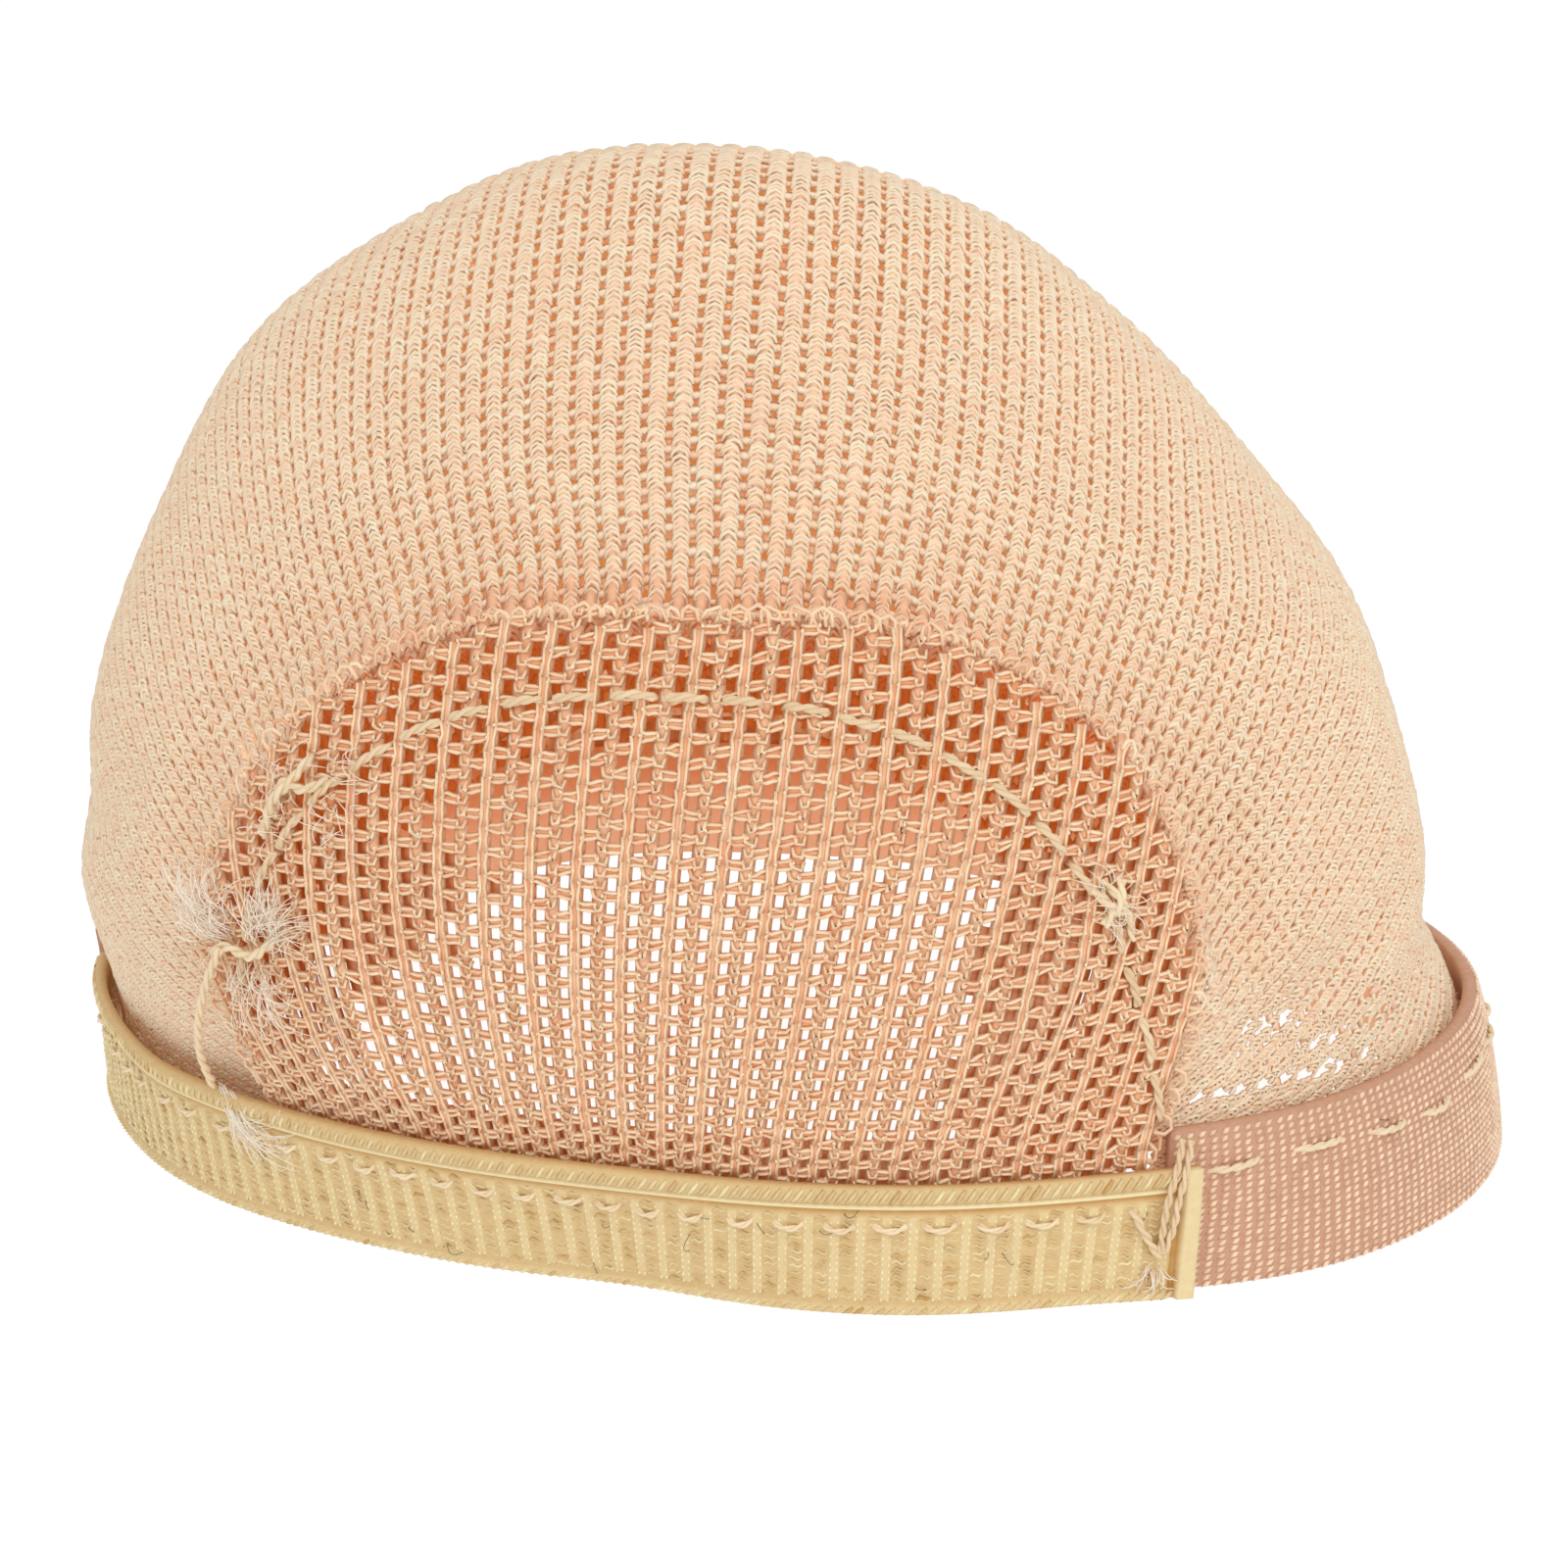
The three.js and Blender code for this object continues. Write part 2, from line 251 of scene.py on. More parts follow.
# %% Floor
FLOOR_HALF = 4.0
FLOOR_TINT, FLOOR_ROUGHNESS, FLOOR_GLOW = 0.10, 0.9, 0.95
floor_mesh = bpy.data.meshes.new("floor")
floor_mesh.from_pydata([(-FLOOR_HALF, -FLOOR_HALF, 0), (FLOOR_HALF, -FLOOR_HALF, 0),
                        (FLOOR_HALF, FLOOR_HALF, 0), (-FLOOR_HALF, FLOOR_HALF, 0)], [], [(0, 1, 2, 3)])
floor = bpy.data.objects.new("floor", floor_mesh)
bpy.context.scene.collection.objects.link(floor)
floor_material = bpy.data.materials.new("white_floor")
floor_material.use_nodes = True
floor_shader = floor_material.node_tree.nodes["Principled BSDF"]
floor_shader.inputs["Base Color"].default_value = (FLOOR_TINT, FLOOR_TINT, FLOOR_TINT, 1)
floor_shader.inputs["Roughness"].default_value = FLOOR_ROUGHNESS
floor_shader.inputs["Specular IOR Level"].default_value = 0.0
floor_shader.inputs["Emission Color"].default_value = WHITE
floor_shader.inputs["Emission Strength"].default_value = FLOOR_GLOW
floor.data.materials.append(floor_material)
print("floor:", 2 * FLOOR_HALF, "m wide")

# %% [markdown]
# ## Yarn finishes
# All pieces are textile, so one recipe serves: a matt shader whose colour runs between a deep and a light
# tint of the same yarn. Each strand carries a number, its tone, as a mesh attribute, and a fine noise in
# object coordinates adds the flecks of single fibres. Bump from a finer noise breaks up the highlight. Thin
# pale yarn also lets light through, which fills its shadows with orange. Scattering inside so many strands
# would be slow to render, so a faint glow of that colour stands in for it. The glow is not to light anything
# else, so the renderer is told not to aim light rays at these materials.

# %% Flecks and glow of yarn
FLECK_SCALE, FLECK_SPREAD = 2600, 0.24
FIBRE_SCALE, FIBRE_BUMP, FIBRE_RELIEF = 9000, 0.3, 0.05 * MM
NOISE_DETAIL = 2
YARN_SHINE = 0.3


def linear(red, green, blue):
    """The shader's linear colour for an everyday 0 to 255 screen colour."""
    share = np.array([red, green, blue]) / 255
    value = np.where(share <= 0.04045, share / 12.92, ((share + 0.055) / 1.055) ** 2.4)
    return (*value.tolist(), 1.0)


def noise_of(nodes, links, place, scale):
    """A noise in object coordinates."""
    noise = nodes.new("ShaderNodeTexNoise")
    noise.inputs["Scale"].default_value = scale
    noise.inputs["Detail"].default_value = NOISE_DETAIL
    links.new(place.outputs["Object"], noise.inputs["Vector"])
    return noise.outputs["Fac"]


def straight_run(nodes, links, value, start, end):
    """Start where the value is 0, end where it is 1, and a straight line between them."""
    run = nodes.new("ShaderNodeMath")
    run.operation = "MULTIPLY_ADD"
    links.new(value, run.inputs[0])
    run.inputs[1].default_value = end - start
    run.inputs[2].default_value = start
    return run.outputs[0]


GLOW_TINT = linear(255, 150, 60)
print("glow tint:", [round(share, 3) for share in GLOW_TINT])

# %% One recipe for all yarns
MIX_FACTOR, MIX_FIRST, MIX_SECOND, MIX_RESULT = 0, 6, 7, 2


def yarn_finish(name, deep, light, roughness, glow):
    """A yarn material: tone and flecks choose between the deep and the light tint.

    glow holds the strength, at the deep and the light end, of the glow that stands for light shining through.
    """
    material = bpy.data.materials.new(name)
    material.cycles.emission_sampling = "NONE"
    material.use_nodes = True
    nodes, links = material.node_tree.nodes, material.node_tree.links
    shader = nodes["Principled BSDF"]
    shader.inputs["Roughness"].default_value = roughness
    shader.inputs["Specular IOR Level"].default_value = YARN_SHINE
    shader.inputs["Emission Color"].default_value = GLOW_TINT
    place = nodes.new("ShaderNodeTexCoord")
    tone = nodes.new("ShaderNodeAttribute")
    tone.attribute_name = "tone"
    noise = noise_of(nodes, links, place, FLECK_SCALE)
    flecks = straight_run(nodes, links, noise, -FLECK_SPREAD / 2, FLECK_SPREAD / 2)
    choice = nodes.new("ShaderNodeMath")
    choice.operation = "ADD"
    choice.use_clamp = True
    links.new(tone.outputs["Fac"], choice.inputs[0])
    links.new(flecks, choice.inputs[1])
    tint = nodes.new("ShaderNodeMix")
    tint.data_type = "RGBA"
    tint.inputs[MIX_FIRST].default_value = linear(*deep)
    tint.inputs[MIX_SECOND].default_value = linear(*light)
    links.new(choice.outputs[0], tint.inputs[MIX_FACTOR])
    links.new(tint.outputs[MIX_RESULT], shader.inputs["Base Color"])
    links.new(straight_run(nodes, links, choice.outputs[0], *glow), shader.inputs["Emission Strength"])
    bump = nodes.new("ShaderNodeBump")
    bump.inputs["Strength"].default_value = FIBRE_BUMP
    bump.inputs["Distance"].default_value = FIBRE_RELIEF
    links.new(noise_of(nodes, links, place, FIBRE_SCALE), bump.inputs["Height"])
    links.new(bump.outputs["Normal"], shader.inputs["Normal"])
    return material


# Columns: name, deep tint, light tint, roughness, glow at the deep and at the light end.
YARNS = [
    ("crown_yarn", (220, 118, 52), (250, 236, 208), 0.7, (0.14, 0.02)),
    ("inner_yarn", (220, 118, 52), (250, 236, 208), 0.7, (0.03, 0.50)),
    ("nape_yarn", (216, 116, 52), (254, 232, 198), 0.65, (0.10, 0.02)),
    ("elastic_yarn", (198, 144, 66), (250, 237, 190), 0.6, (0, 0)),
    ("tape_yarn", (178, 108, 72), (255, 226, 196), 0.6, (0, 0)),
    ("sewing_thread", (206, 160, 106), (250, 232, 198), 0.6, (0, 0)),
    ("frayed_thread", (226, 188, 140), (255, 250, 236), 0.6, (0.08, 0.04)),
    ("stray_fibre", (92, 78, 62), (150, 132, 104), 0.6, (0, 0)),
]
finishes = {row[0]: yarn_finish(*row) for row in YARNS}
print("finishes:", ", ".join(finishes))

# %% [markdown]
# ## From arrays to meshes
# A strand is a tube: a ring of a few points carried along a path. Thousands of strands of one kind share the
# same number of points, so their rings are one big array and their faces a second one. Curve objects with a
# bevel would be simpler, but thousands of them are slow, and a joined mesh exports as it is.

# %% Strands
FINE_SIDES, FLAT_SIDES, ROUND_SIDES = 3, 4, 5


def tubes(paths, normals, half_width, half_height, sides, tone):
    """Closed tubes along many paths at once, as (vertices, face arrays, tone at each vertex).

    paths is (strands, points, 3). Round each point lies an ellipse: its width runs across the path in the
    cloth, its height along the cloth's normal. Quads join the rings, and one face closes each end.
    """
    count, points = paths.shape[:2]
    along = np.gradient(paths, axis=1)
    across = unit(np.cross(along, normals))
    upward = unit(np.cross(across, along))
    turn = np.arange(sides) * 2 * np.pi / sides + np.pi / 2
    width = np.broadcast_to(half_width, (count, points))[..., None, None]
    height = np.broadcast_to(half_height, (count, points))[..., None, None]
    ring = across[:, :, None] * np.cos(turn)[:, None] * width
    ring = ring + upward[:, :, None] * np.sin(turn)[:, None] * height
    number = np.arange(count * points * sides).reshape(count, points, sides)
    beside = np.roll(number, -1, axis=2)
    sleeve = np.stack([number[:, :-1], number[:, 1:], beside[:, 1:], beside[:, :-1]], axis=-1)
    ends = np.concatenate([number[:, 0], number[:, -1, ::-1]])
    tones = np.broadcast_to(np.asarray(tone).reshape(-1, 1, 1), (count, points, sides))
    return (paths[:, :, None] + ring).reshape(-1, 3), [sleeve.reshape(-1, 4), ends], tones.ravel()


def strands(point, across, up, normal, shape, sizes, sides, tone):
    """Tubes of one shape set on many places: place + across * a + up * b + normal * h for each shape row.

    shape is (points, 3) or (places, points, 3) with columns a, b, h. sizes are half width and half height.
    """
    a, b, h = (np.broadcast_to(shape, (len(point), *shape.shape[-2:]))[..., k, None] for k in range(3))
    paths = point[:, None] + across[:, None] * a + up[:, None] * b + normal[:, None] * h
    normals = np.broadcast_to(normal[:, None], paths.shape)
    return tubes(paths, normals, sizes[0], sizes[1], sides, tone)


def bars(near, far, normal, depth, half_width, half_height, sides, tone):
    """Straight tubes from near to far places, moved by a depth along the normal."""
    paths = np.stack([near, far], axis=1) + normal[:, None] * depth
    return tubes(paths, np.broadcast_to(normal[:, None], paths.shape), half_width, half_height, sides, tone)


def yarn_tones(middle, spread, count):
    """A tone for each of many strands: a middle value and seeded chance around it."""
    return middle + dice.normal(0, spread, count)


sample_bar = bars(np.zeros((1, 3)), np.eye(3)[:1], np.eye(3)[2:], 0.0, 0.1, 0.1, FINE_SIDES, 0.5)
print("a fine bar:", len(sample_bar[0]), "vertices")

# %% Grains and bands
# Corners of an octahedron: the long axis, the cross axis, their far ends, the normal and its far end.
GRAIN_FACES = np.array([(0, 1, 4), (1, 2, 4), (2, 3, 4), (3, 0, 4),
                        (1, 0, 5), (2, 1, 5), (3, 2, 5), (0, 3, 5)])
GRAIN_CORNERS = 6


def grains(point, long_axis, cross_axis, normal, lengths, tone):
    """Small pointed grains, each an octahedron with corners at plus and minus three half lengths."""
    corners = np.stack([long_axis * lengths[0], cross_axis * lengths[1], -long_axis * lengths[0],
                        -cross_axis * lengths[1], normal * lengths[2], -normal * lengths[2]], axis=1)
    numbers = GRAIN_FACES[None] + np.arange(len(point))[:, None, None] * GRAIN_CORNERS
    return (point[:, None] + corners).reshape(-1, 3), [numbers.reshape(-1, 3)], np.repeat(tone, GRAIN_CORNERS)


def band_loop(section, tone):
    """A closed band from an array of sections (columns, points, 3): quads along it and a face at each end."""
    columns, points = section.shape[:2]
    number = np.arange(columns * points).reshape(columns, points)
    beside = np.roll(number, -1, axis=1)
    sides = np.stack([number[:-1], number[1:], beside[1:], beside[:-1]], axis=-1)
    ends = np.stack([number[0], number[-1, ::-1]])
    return section.reshape(-1, 3), [sides.reshape(-1, 4), ends], np.broadcast_to(tone, number.shape).ravel()


print("a grain:", len(GRAIN_FACES), "faces")

# %% Pieces
ADDED_TRIANGLES = {}


def mesh_of(name, parts):
    """One mesh from parts in millimetres, none of it below the floor, with the tone as an attribute.

    The parts' vertices follow one another, so each part's faces are moved on by the vertices before it.
    """
    starts = np.cumsum([0] + [len(part[0]) for part in parts])
    places = np.concatenate([part[0] for part in parts]) * MM
    places[:, 2] = np.maximum(places[:, 2], 0)
    tone = np.concatenate([part[2] for part in parts])
    faces = [array + start for part, start in zip(parts, starts) for array in part[1]]
    corners = np.concatenate([array.ravel() for array in faces])
    sizes = np.concatenate([np.full(len(array), array.shape[1]) for array in faces])
    mesh = bpy.data.meshes.new(name)
    mesh.vertices.add(len(places))
    mesh.vertices.foreach_set("co", places.astype(np.float32).ravel())
    mesh.loops.add(len(corners))
    mesh.loops.foreach_set("vertex_index", corners.astype(np.int32))
    mesh.polygons.add(len(sizes))
    mesh.polygons.foreach_set("loop_start", (np.cumsum(sizes) - sizes).astype(np.int32))
    mesh.attributes.new("tone", "FLOAT", "POINT").data.foreach_set("value", tone.astype(np.float32))
    mesh.update(calc_edges=True)
    mesh.shade_smooth()
    ADDED_TRIANGLES[name] = int((sizes - 2).sum())
    return mesh


def make_piece(name, parts, finish, replaces=None):
    """An object of the frame's root body, with its finish. It may stand in for a frame's node."""
    mesh = mesh_of(name, parts)
    mesh.materials.append(finishes[finish])
    piece = bpy.data.objects.new(name, mesh)
    bpy.context.scene.collection.objects.link(piece)
    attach(piece, "root")
    if replaces:
        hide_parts(replaces)
    print(f"{name}: {ADDED_TRIANGLES[name]} triangles")


print("pieces so far:", len(ADDED_TRIANGLES))

# %% [markdown]
# ## Where the wales of the crown run
# A wale is one chain of loops. On the real cap the wales start at the front rim, run back over the top and
# meet the nape seam at right angles. To steer them we flatten the dome into a round chart about its apex, as
# a polar map does: the distance from the middle is the angle from the apex, and the direction is the azimuth.
# There each wale is two smooth Hermite curves, one in front of the ear-to-ear line and one behind it.

# %% Rim and seam
ARCH_HEIGHT, ARCH_FULL, ARCH_GONE = 4.0, 10.0, 65.0
HOLLOW_DEPTH, HOLLOW_REACH, HOLLOW_FULL_HEIGHT = 1.2, 7.0, 18.0
# The panel's rough outline is a rounded box of this power, about this many millimetres from its middle. The
# peak is what u * (1 - u) ** 2 is multiplied by to reach 1 at its highest.
OUTLINE_POWER, OUTLINE_REACH, HOLLOW_PEAK = 3, 30, 27 / 4


def rim_height(azimuth):
    """Height of the rim above the floor: flat at the nape and sides, arched at the front."""
    from_front = np.abs(turn_between(180.0, azimuth))
    return ARCH_HEIGHT * (1 - smoothstep(from_front, ARCH_FULL, ARCH_GONE))


def seam_hollow(azimuth, elevation):
    """How deep the nape seam pulls the crown in, just outside the panel's edge."""
    side = np.abs(turn_between(PANEL_MIDDLE, azimuth)) / PANEL_HALF_SPAN
    height = dome_radius(azimuth, elevation) * np.sin(np.radians(elevation))
    rise = np.maximum(height, 0) / PANEL_TOP
    level = (side ** OUTLINE_POWER + rise ** OUTLINE_POWER) ** (1 / OUTLINE_POWER)
    outside = np.clip((level - 1) * OUTLINE_REACH / HOLLOW_REACH, 0, 1)
    clear = smoothstep(height, TAPE_HEIGHT, HOLLOW_FULL_HEIGHT)
    return HOLLOW_DEPTH * HOLLOW_PEAK * outside * (1 - outside) ** 2 * clear


print("rim: flat at the nape,", rim_height(180.0), "mm up at the front")

# %% The chart of the crown
CHART_STEP = 0.15


def chart_of(azimuth, elevation):
    """Chart place of a direction: 90 - elevation away from the middle, towards the azimuth."""
    away = 90 - elevation
    return np.stack([away * np.sin(np.radians(azimuth)), -away * np.cos(np.radians(azimuth))], axis=-1)


def direction_of(x, y):
    """The inverse of chart_of."""
    return np.degrees(np.arctan2(x, -y)), 90 - np.hypot(x, y)


def crown_surface(x, y):
    """Outer face of the crown at chart places, drawn in by the seam."""
    azimuth, elevation = direction_of(x, y)
    return dome_point(azimuth, elevation, -seam_hollow(azimuth, elevation))


print("chart place of the right ear:", chart_of(90.0, 0.0).round(1))

# %% The outline of the panel
CORNER_CUT, CORNER_POWER, PANEL_TUCK, PANEL_LEAN = 0.206, 3.3, 0.2, 5.5
SHARE_ROUNDS, MOST_ROW = 14, 1.2


def corner_rounding(share):
    """How much a side of the D draws in towards its corners."""
    return 1 - CORNER_CUT * np.abs(share) ** CORNER_POWER


def panel_place(side, row):
    """Azimuth and height at a share of the panel's width, -1 to 1, and of its height, 0 to 1."""
    low = (1 - row) ** 2
    reach = PANEL_HALF_SPAN * side * corner_rounding(row) * (1 - PANEL_TUCK * low)
    return PANEL_MIDDLE - PANEL_LEAN * low + reach, HEM + (PANEL_TOP * corner_rounding(side) - HEM) * row


def panel_shares(azimuth, height):
    """The inverse of panel_place, by repeated substitution."""
    row = np.clip((height - HEM) / (PANEL_TOP - HEM), 0, MOST_ROW)
    for _ in range(SHARE_ROUNDS):
        low = np.maximum(1 - row, 0) ** 2
        reach = PANEL_HALF_SPAN * corner_rounding(np.clip(row, 0, 1)) * (1 - PANEL_TUCK * low)
        side = (azimuth - PANEL_MIDDLE + PANEL_LEAN * low) / reach
        row = (height - HEM) / (PANEL_TOP * corner_rounding(np.clip(side, -1, 1)) - HEM)
    return side, row


print("panel: top at", panel_place(0.0, 1.0), "in degrees and millimetres")

# %% Lines and curves


def arc_length(points):
    """Length along polylines, from 0 at their first points."""
    steps = np.linalg.norm(np.diff(points, axis=-2), axis=-1)
    return np.concatenate([np.zeros((*steps.shape[:-1], 1)), np.cumsum(steps, axis=-1)], axis=-1)


def hermite(start, leave, finish, arrive, samples):
    """Cubic curves from start to finish that leave and arrive along the given directions."""
    t = np.linspace(0, 1, samples)[None, :, None]
    chord = np.linalg.norm(finish - start, axis=-1, keepdims=True)[:, None]
    start, finish = start[:, None], finish[:, None]
    leave, arrive = leave[:, None] * chord, arrive[:, None] * chord
    rise = finish - start
    return start + t * leave + t * t * (3 * rise - 2 * leave - arrive) + t ** 3 * (leave + arrive - 2 * rise)


print("outline of a unit square:", arc_length(np.array([(0, 0), (1, 0), (1, 1), (0, 1), (0, 0)]))[-1])

# %% Where each wale crosses the ear-to-ear line
HALF_WALES = 63
EAR_LINE_REACH, EAR_LINE_SAMPLES = 87, 801

wale = np.arange(-HALF_WALES, HALF_WALES + 1)
wale_share = wale / HALF_WALES
ear_line = np.linspace(-EAR_LINE_REACH, EAR_LINE_REACH, EAR_LINE_SAMPLES)
ear_length = arc_length(crown_surface(ear_line, np.zeros_like(ear_line)))
ear_length = ear_length - np.interp(0, ear_line, ear_length)
ear_reach = np.where(wale < 0, -ear_length[0], ear_length[-1])
crossing = np.interp(wale_share * ear_reach, ear_length, ear_line)
crossings = np.stack([crossing, np.zeros_like(crossing)], axis=-1)
print(f"wales: {len(wale)}, ear line {ear_length[-1] - ear_length[0]:.0f} mm")

# %% Where each wale ends at the nape
# Wales end at the nape on the crown's cut under the panel. Their pitch along it falls evenly from the middle
# to the corners, so that every wale finds room. Near the corners they leave with a wider swing.
CUT_HALF_SPAN, CUT_TOP = 43.0, 30.0
SEAM_PITCH_MIDDLE, SEAM_SHIFT, SEAM_SWEEP, SEAM_SAMPLES = 1.0, 2.5, 87.0, 361
SIDE_SWING = 0.5

sweep = np.radians(np.linspace(-SEAM_SWEEP, SEAM_SWEEP, SEAM_SAMPLES))
end_azimuth = PANEL_MIDDLE + CUT_HALF_SPAN * np.sin(sweep)
end_elevation = elevation_at_height(end_azimuth, np.maximum(CUT_TOP * np.cos(sweep), HEM), 0.0)
end_chart = chart_of(end_azimuth, end_elevation)
end_length = arc_length(crown_surface(end_chart[:, 0], end_chart[:, 1]))
seam_middle = end_length[-1] / 2 + SEAM_SHIFT
mean_pitch = np.where(wale < 0, seam_middle, end_length[-1] - seam_middle) / HALF_WALES
from_middle = np.abs(wale)
seam_reach = (from_middle * SEAM_PITCH_MIDDLE
              - from_middle ** 2 * (SEAM_PITCH_MIDDLE - mean_pitch) / HALF_WALES)
end_at = seam_middle + np.sign(wale) * seam_reach
ends = np.stack([np.interp(end_at, end_length, end_chart[:, k]) for k in range(2)], axis=-1)
end_tangent = np.gradient(end_chart, end_length, axis=0)
end_tangent = np.stack([np.interp(end_at, end_length, end_tangent[:, k]) for k in range(2)], axis=-1)
end_outwards = np.stack([-end_tangent[:, 1], end_tangent[:, 0]], axis=-1)
end_leave = unit(end_outwards) * (1 + SIDE_SWING * (from_middle / HALF_WALES) ** 2)[:, None]
print(f"nape seam: {end_length[-1]:.0f} mm")

# %% Where each wale starts at the front
FRONT_WALE_TURN = 1.397

front_azimuth = 180 - FRONT_WALE_TURN * wale
front_elevation = elevation_at_height(front_azimuth, rim_height(front_azimuth) + HEM, 0.0)
fronts = chart_of(front_azimuth, front_elevation)
ahead = np.broadcast_to([0.0, 1.0], crossings.shape)
outward_share = 1 - np.abs(wale_share[:, None]) ** 2
front_arrive = unit(unit(fronts) * outward_share + ahead * (1 - outward_share))
print("wales start at azimuths", front_azimuth.min().round(0), "to", front_azimuth.max().round(0))

# %% [markdown]
# ## Courses
# A course is one row of loops across all wales. Courses are counted from the ear-to-ear line, negative
# towards the nape. The net is stretched unevenly on the real cap: close in the middle of the back, open over
# the top and at the seam. So the course pitch, half the distance between two holes, depends on the way along
# the wale.

# %% Courses along the wales
PATH_SAMPLES = 90
COURSE_SHARES = [0, 0.38, 0.5, 0.62, 0.76, 0.84, 1]
COURSE_PITCHES = [0.52, 0.51, 0.455, 0.41, 0.38, 0.50, 0.53]
FRONT_COURSE_PITCH = 0.52

behind = hermite(ends, end_leave, crossings, ahead, PATH_SAMPLES)
before = hermite(crossings, ahead, fronts, front_arrive, PATH_SAMPLES)
wale_paths = np.concatenate([behind, before[:, 1:]], axis=1)
# Wales that would swing out past the hem follow it instead.
path_azimuth, _ = direction_of(wale_paths[..., 0], wale_paths[..., 1])
hem_away = 90 - elevation_at_height(path_azimuth, rim_height(path_azimuth) + HEM, 0.0)
wale_paths *= np.minimum(1, hem_away / np.hypot(wale_paths[..., 0], wale_paths[..., 1]).clip(1))[..., None]
path_length = arc_length(crown_surface(wale_paths[..., 0], wale_paths[..., 1]))
ear_at = path_length[:, PATH_SAMPLES - 1: PATH_SAMPLES]
back_share = np.clip(1 - path_length / ear_at, 0, 1)
pitch = np.interp(back_share, COURSE_SHARES, COURSE_PITCHES)
pitch[:, PATH_SAMPLES:] = FRONT_COURSE_PITCH
course_steps = np.diff(path_length, axis=1) * 2 / (pitch[:, 1:] + pitch[:, :-1])
course = np.concatenate([np.zeros((len(wale), 1)), np.cumsum(course_steps, axis=1)], axis=1)
course = course - course[:, PATH_SAMPLES - 1: PATH_SAMPLES]
first_course, last_course = np.ceil(course.min()), np.floor(course.max())


def on_wales(rows):
    """Chart places on every wale at the given courses."""
    return [np.stack([np.interp(rows, course[k], wale_paths[k, :, axis]) for k in range(len(wale))])
            for axis in range(2)]


print(f"courses: {first_course:.0f} to {last_course:.0f}")

# %% [markdown]
# ## Shade at the panel, slits at the tape
# The crown is deeper in colour close to the panel's edge, and deepest on the flap that lies under the panel,
# where little light comes. Low down at the right the stretched net gapes in short dashes above the tape. The
# slits could be cut out of a finished mesh, but pushing the loops apart leaves no torn strands.

# %% Shade close to the panel
FLAP_SHADE, EDGE_SHADE, EDGE_REACH = 0.87, 0.15, 0.06


def panel_level(azimuth, height):
    """1 on the panel's edge, less under the panel and more outside it."""
    side, row = panel_shares(azimuth, height)
    return np.maximum(np.abs(side), row)


def shade_of(level):
    """Deeper tone close to the panel's edge, and deepest on the flap that lies under the panel."""
    outside = level - 1
    under = 1 - smoothstep(outside, -EDGE_REACH, -EDGE_REACH / 4)
    return EDGE_SHADE * (1 - smoothstep(outside, 0, EDGE_REACH)) + (FLAP_SHADE - EDGE_SHADE) * under


print("shade under the panel and far from it:", shade_of(np.array([0.5, 2.0])).round(2))

# %% Slits above the tape
# Height and azimuths from and to of the lines along which the net gapes.
SLIT_LINES = [(9.8, 38.0, 59.0), (11.1, 50.0, 67.0), (12.3, 58.0, 66.0), (12.6, 45.0, 52.0)]
SLIT_PITCH, SLIT_HALF, SLIT_FADE = 2.2, 0.30, 0.6
# A dash opens between these two values of the sine along the row, and its row starts and ends over a degree.
DASH_CLOSED, DASH_OPEN, SLIT_RAMP = 0.2, 0.6, 1


def slit_shift(azimuth, height):
    """How far the net is pushed up above a row of slits and down below it, fading away from the row.

    Along the row the push comes and goes with the sine of the azimuth, which leaves bridges between slits.
    """
    dash = smoothstep(np.abs(np.sin(np.pi * azimuth / SLIT_PITCH)), DASH_CLOSED, DASH_OPEN)
    shift = np.zeros_like(height)
    for level, start, end in SLIT_LINES:
        within = smoothstep(azimuth, start - SLIT_RAMP, start + SLIT_RAMP)
        within = within * (1 - smoothstep(azimuth, end - SLIT_RAMP, end + SLIT_RAMP))
        above = height - level
        shift += SLIT_HALF * dash * within * np.sign(above) * np.exp(-np.abs(above) / SLIT_FADE)
    return shift


print("rows of slits:", len(SLIT_LINES))

# %% What a loop knows of its place
LEAST_TALL, LEAST_WIDE, MOST_WIDE = 0.2, 0.5, 1.7


def crown_spots(rows):
    """Everything a loop needs to know at each wale and the given courses, as a dictionary of arrays.

    Up runs along the wale, across to the next wale. wide is the wale pitch and tall the course pitch. shade
    is how much deeper the tone is, and shift is how far a slit above the tape pushes the loop up or down.
    """
    x, y = on_wales(rows)
    point, _, _, normal = surface_frame(crown_surface, x, y, CHART_STEP)
    step = crown_surface(*on_wales(rows + 0.5)) - crown_surface(*on_wales(rows - 0.5))
    tall = np.maximum(np.linalg.norm(step, axis=-1), LEAST_TALL)
    up = step / tall[..., None]
    across = unit(np.cross(up, normal))
    gap = np.einsum("ijk,ijk->ij", np.diff(point, axis=0), across[:-1])
    wide = (np.concatenate([gap[:1], gap]) + np.concatenate([gap, gap[-1:]])) / 2
    wide = np.clip(wide, LEAST_WIDE, MOST_WIDE)
    azimuth, _ = direction_of(x, y)
    level = panel_level(azimuth, point[..., 2])
    shift = slit_shift(azimuth, point[..., 2])
    point[..., 2] += shift
    return {
        "rows": rows, "point": point, "normal": normal, "up": up, "across": across,
        "wide": wide, "tall": tall,
        "azimuth": azimuth, "level": level, "shade": shade_of(level), "shift": shift,
        "here": (rows >= course[:, :1]) & (rows <= course[:, -1:]),
    }


ARCHES_APART_BACK, ARCHES_APART_FRONT = 2 / 3, 5 / 3
tie_spots = crown_spots(np.arange(first_course, last_course + 1))
back_spots = crown_spots(np.arange(first_course, 0, ARCHES_APART_BACK))
front_spots = crown_spots(np.arange(0, last_course, ARCHES_APART_FRONT))
print("loops behind the ears:", int(back_spots["here"].sum()), "in front:", int(front_spots["here"].sum()))

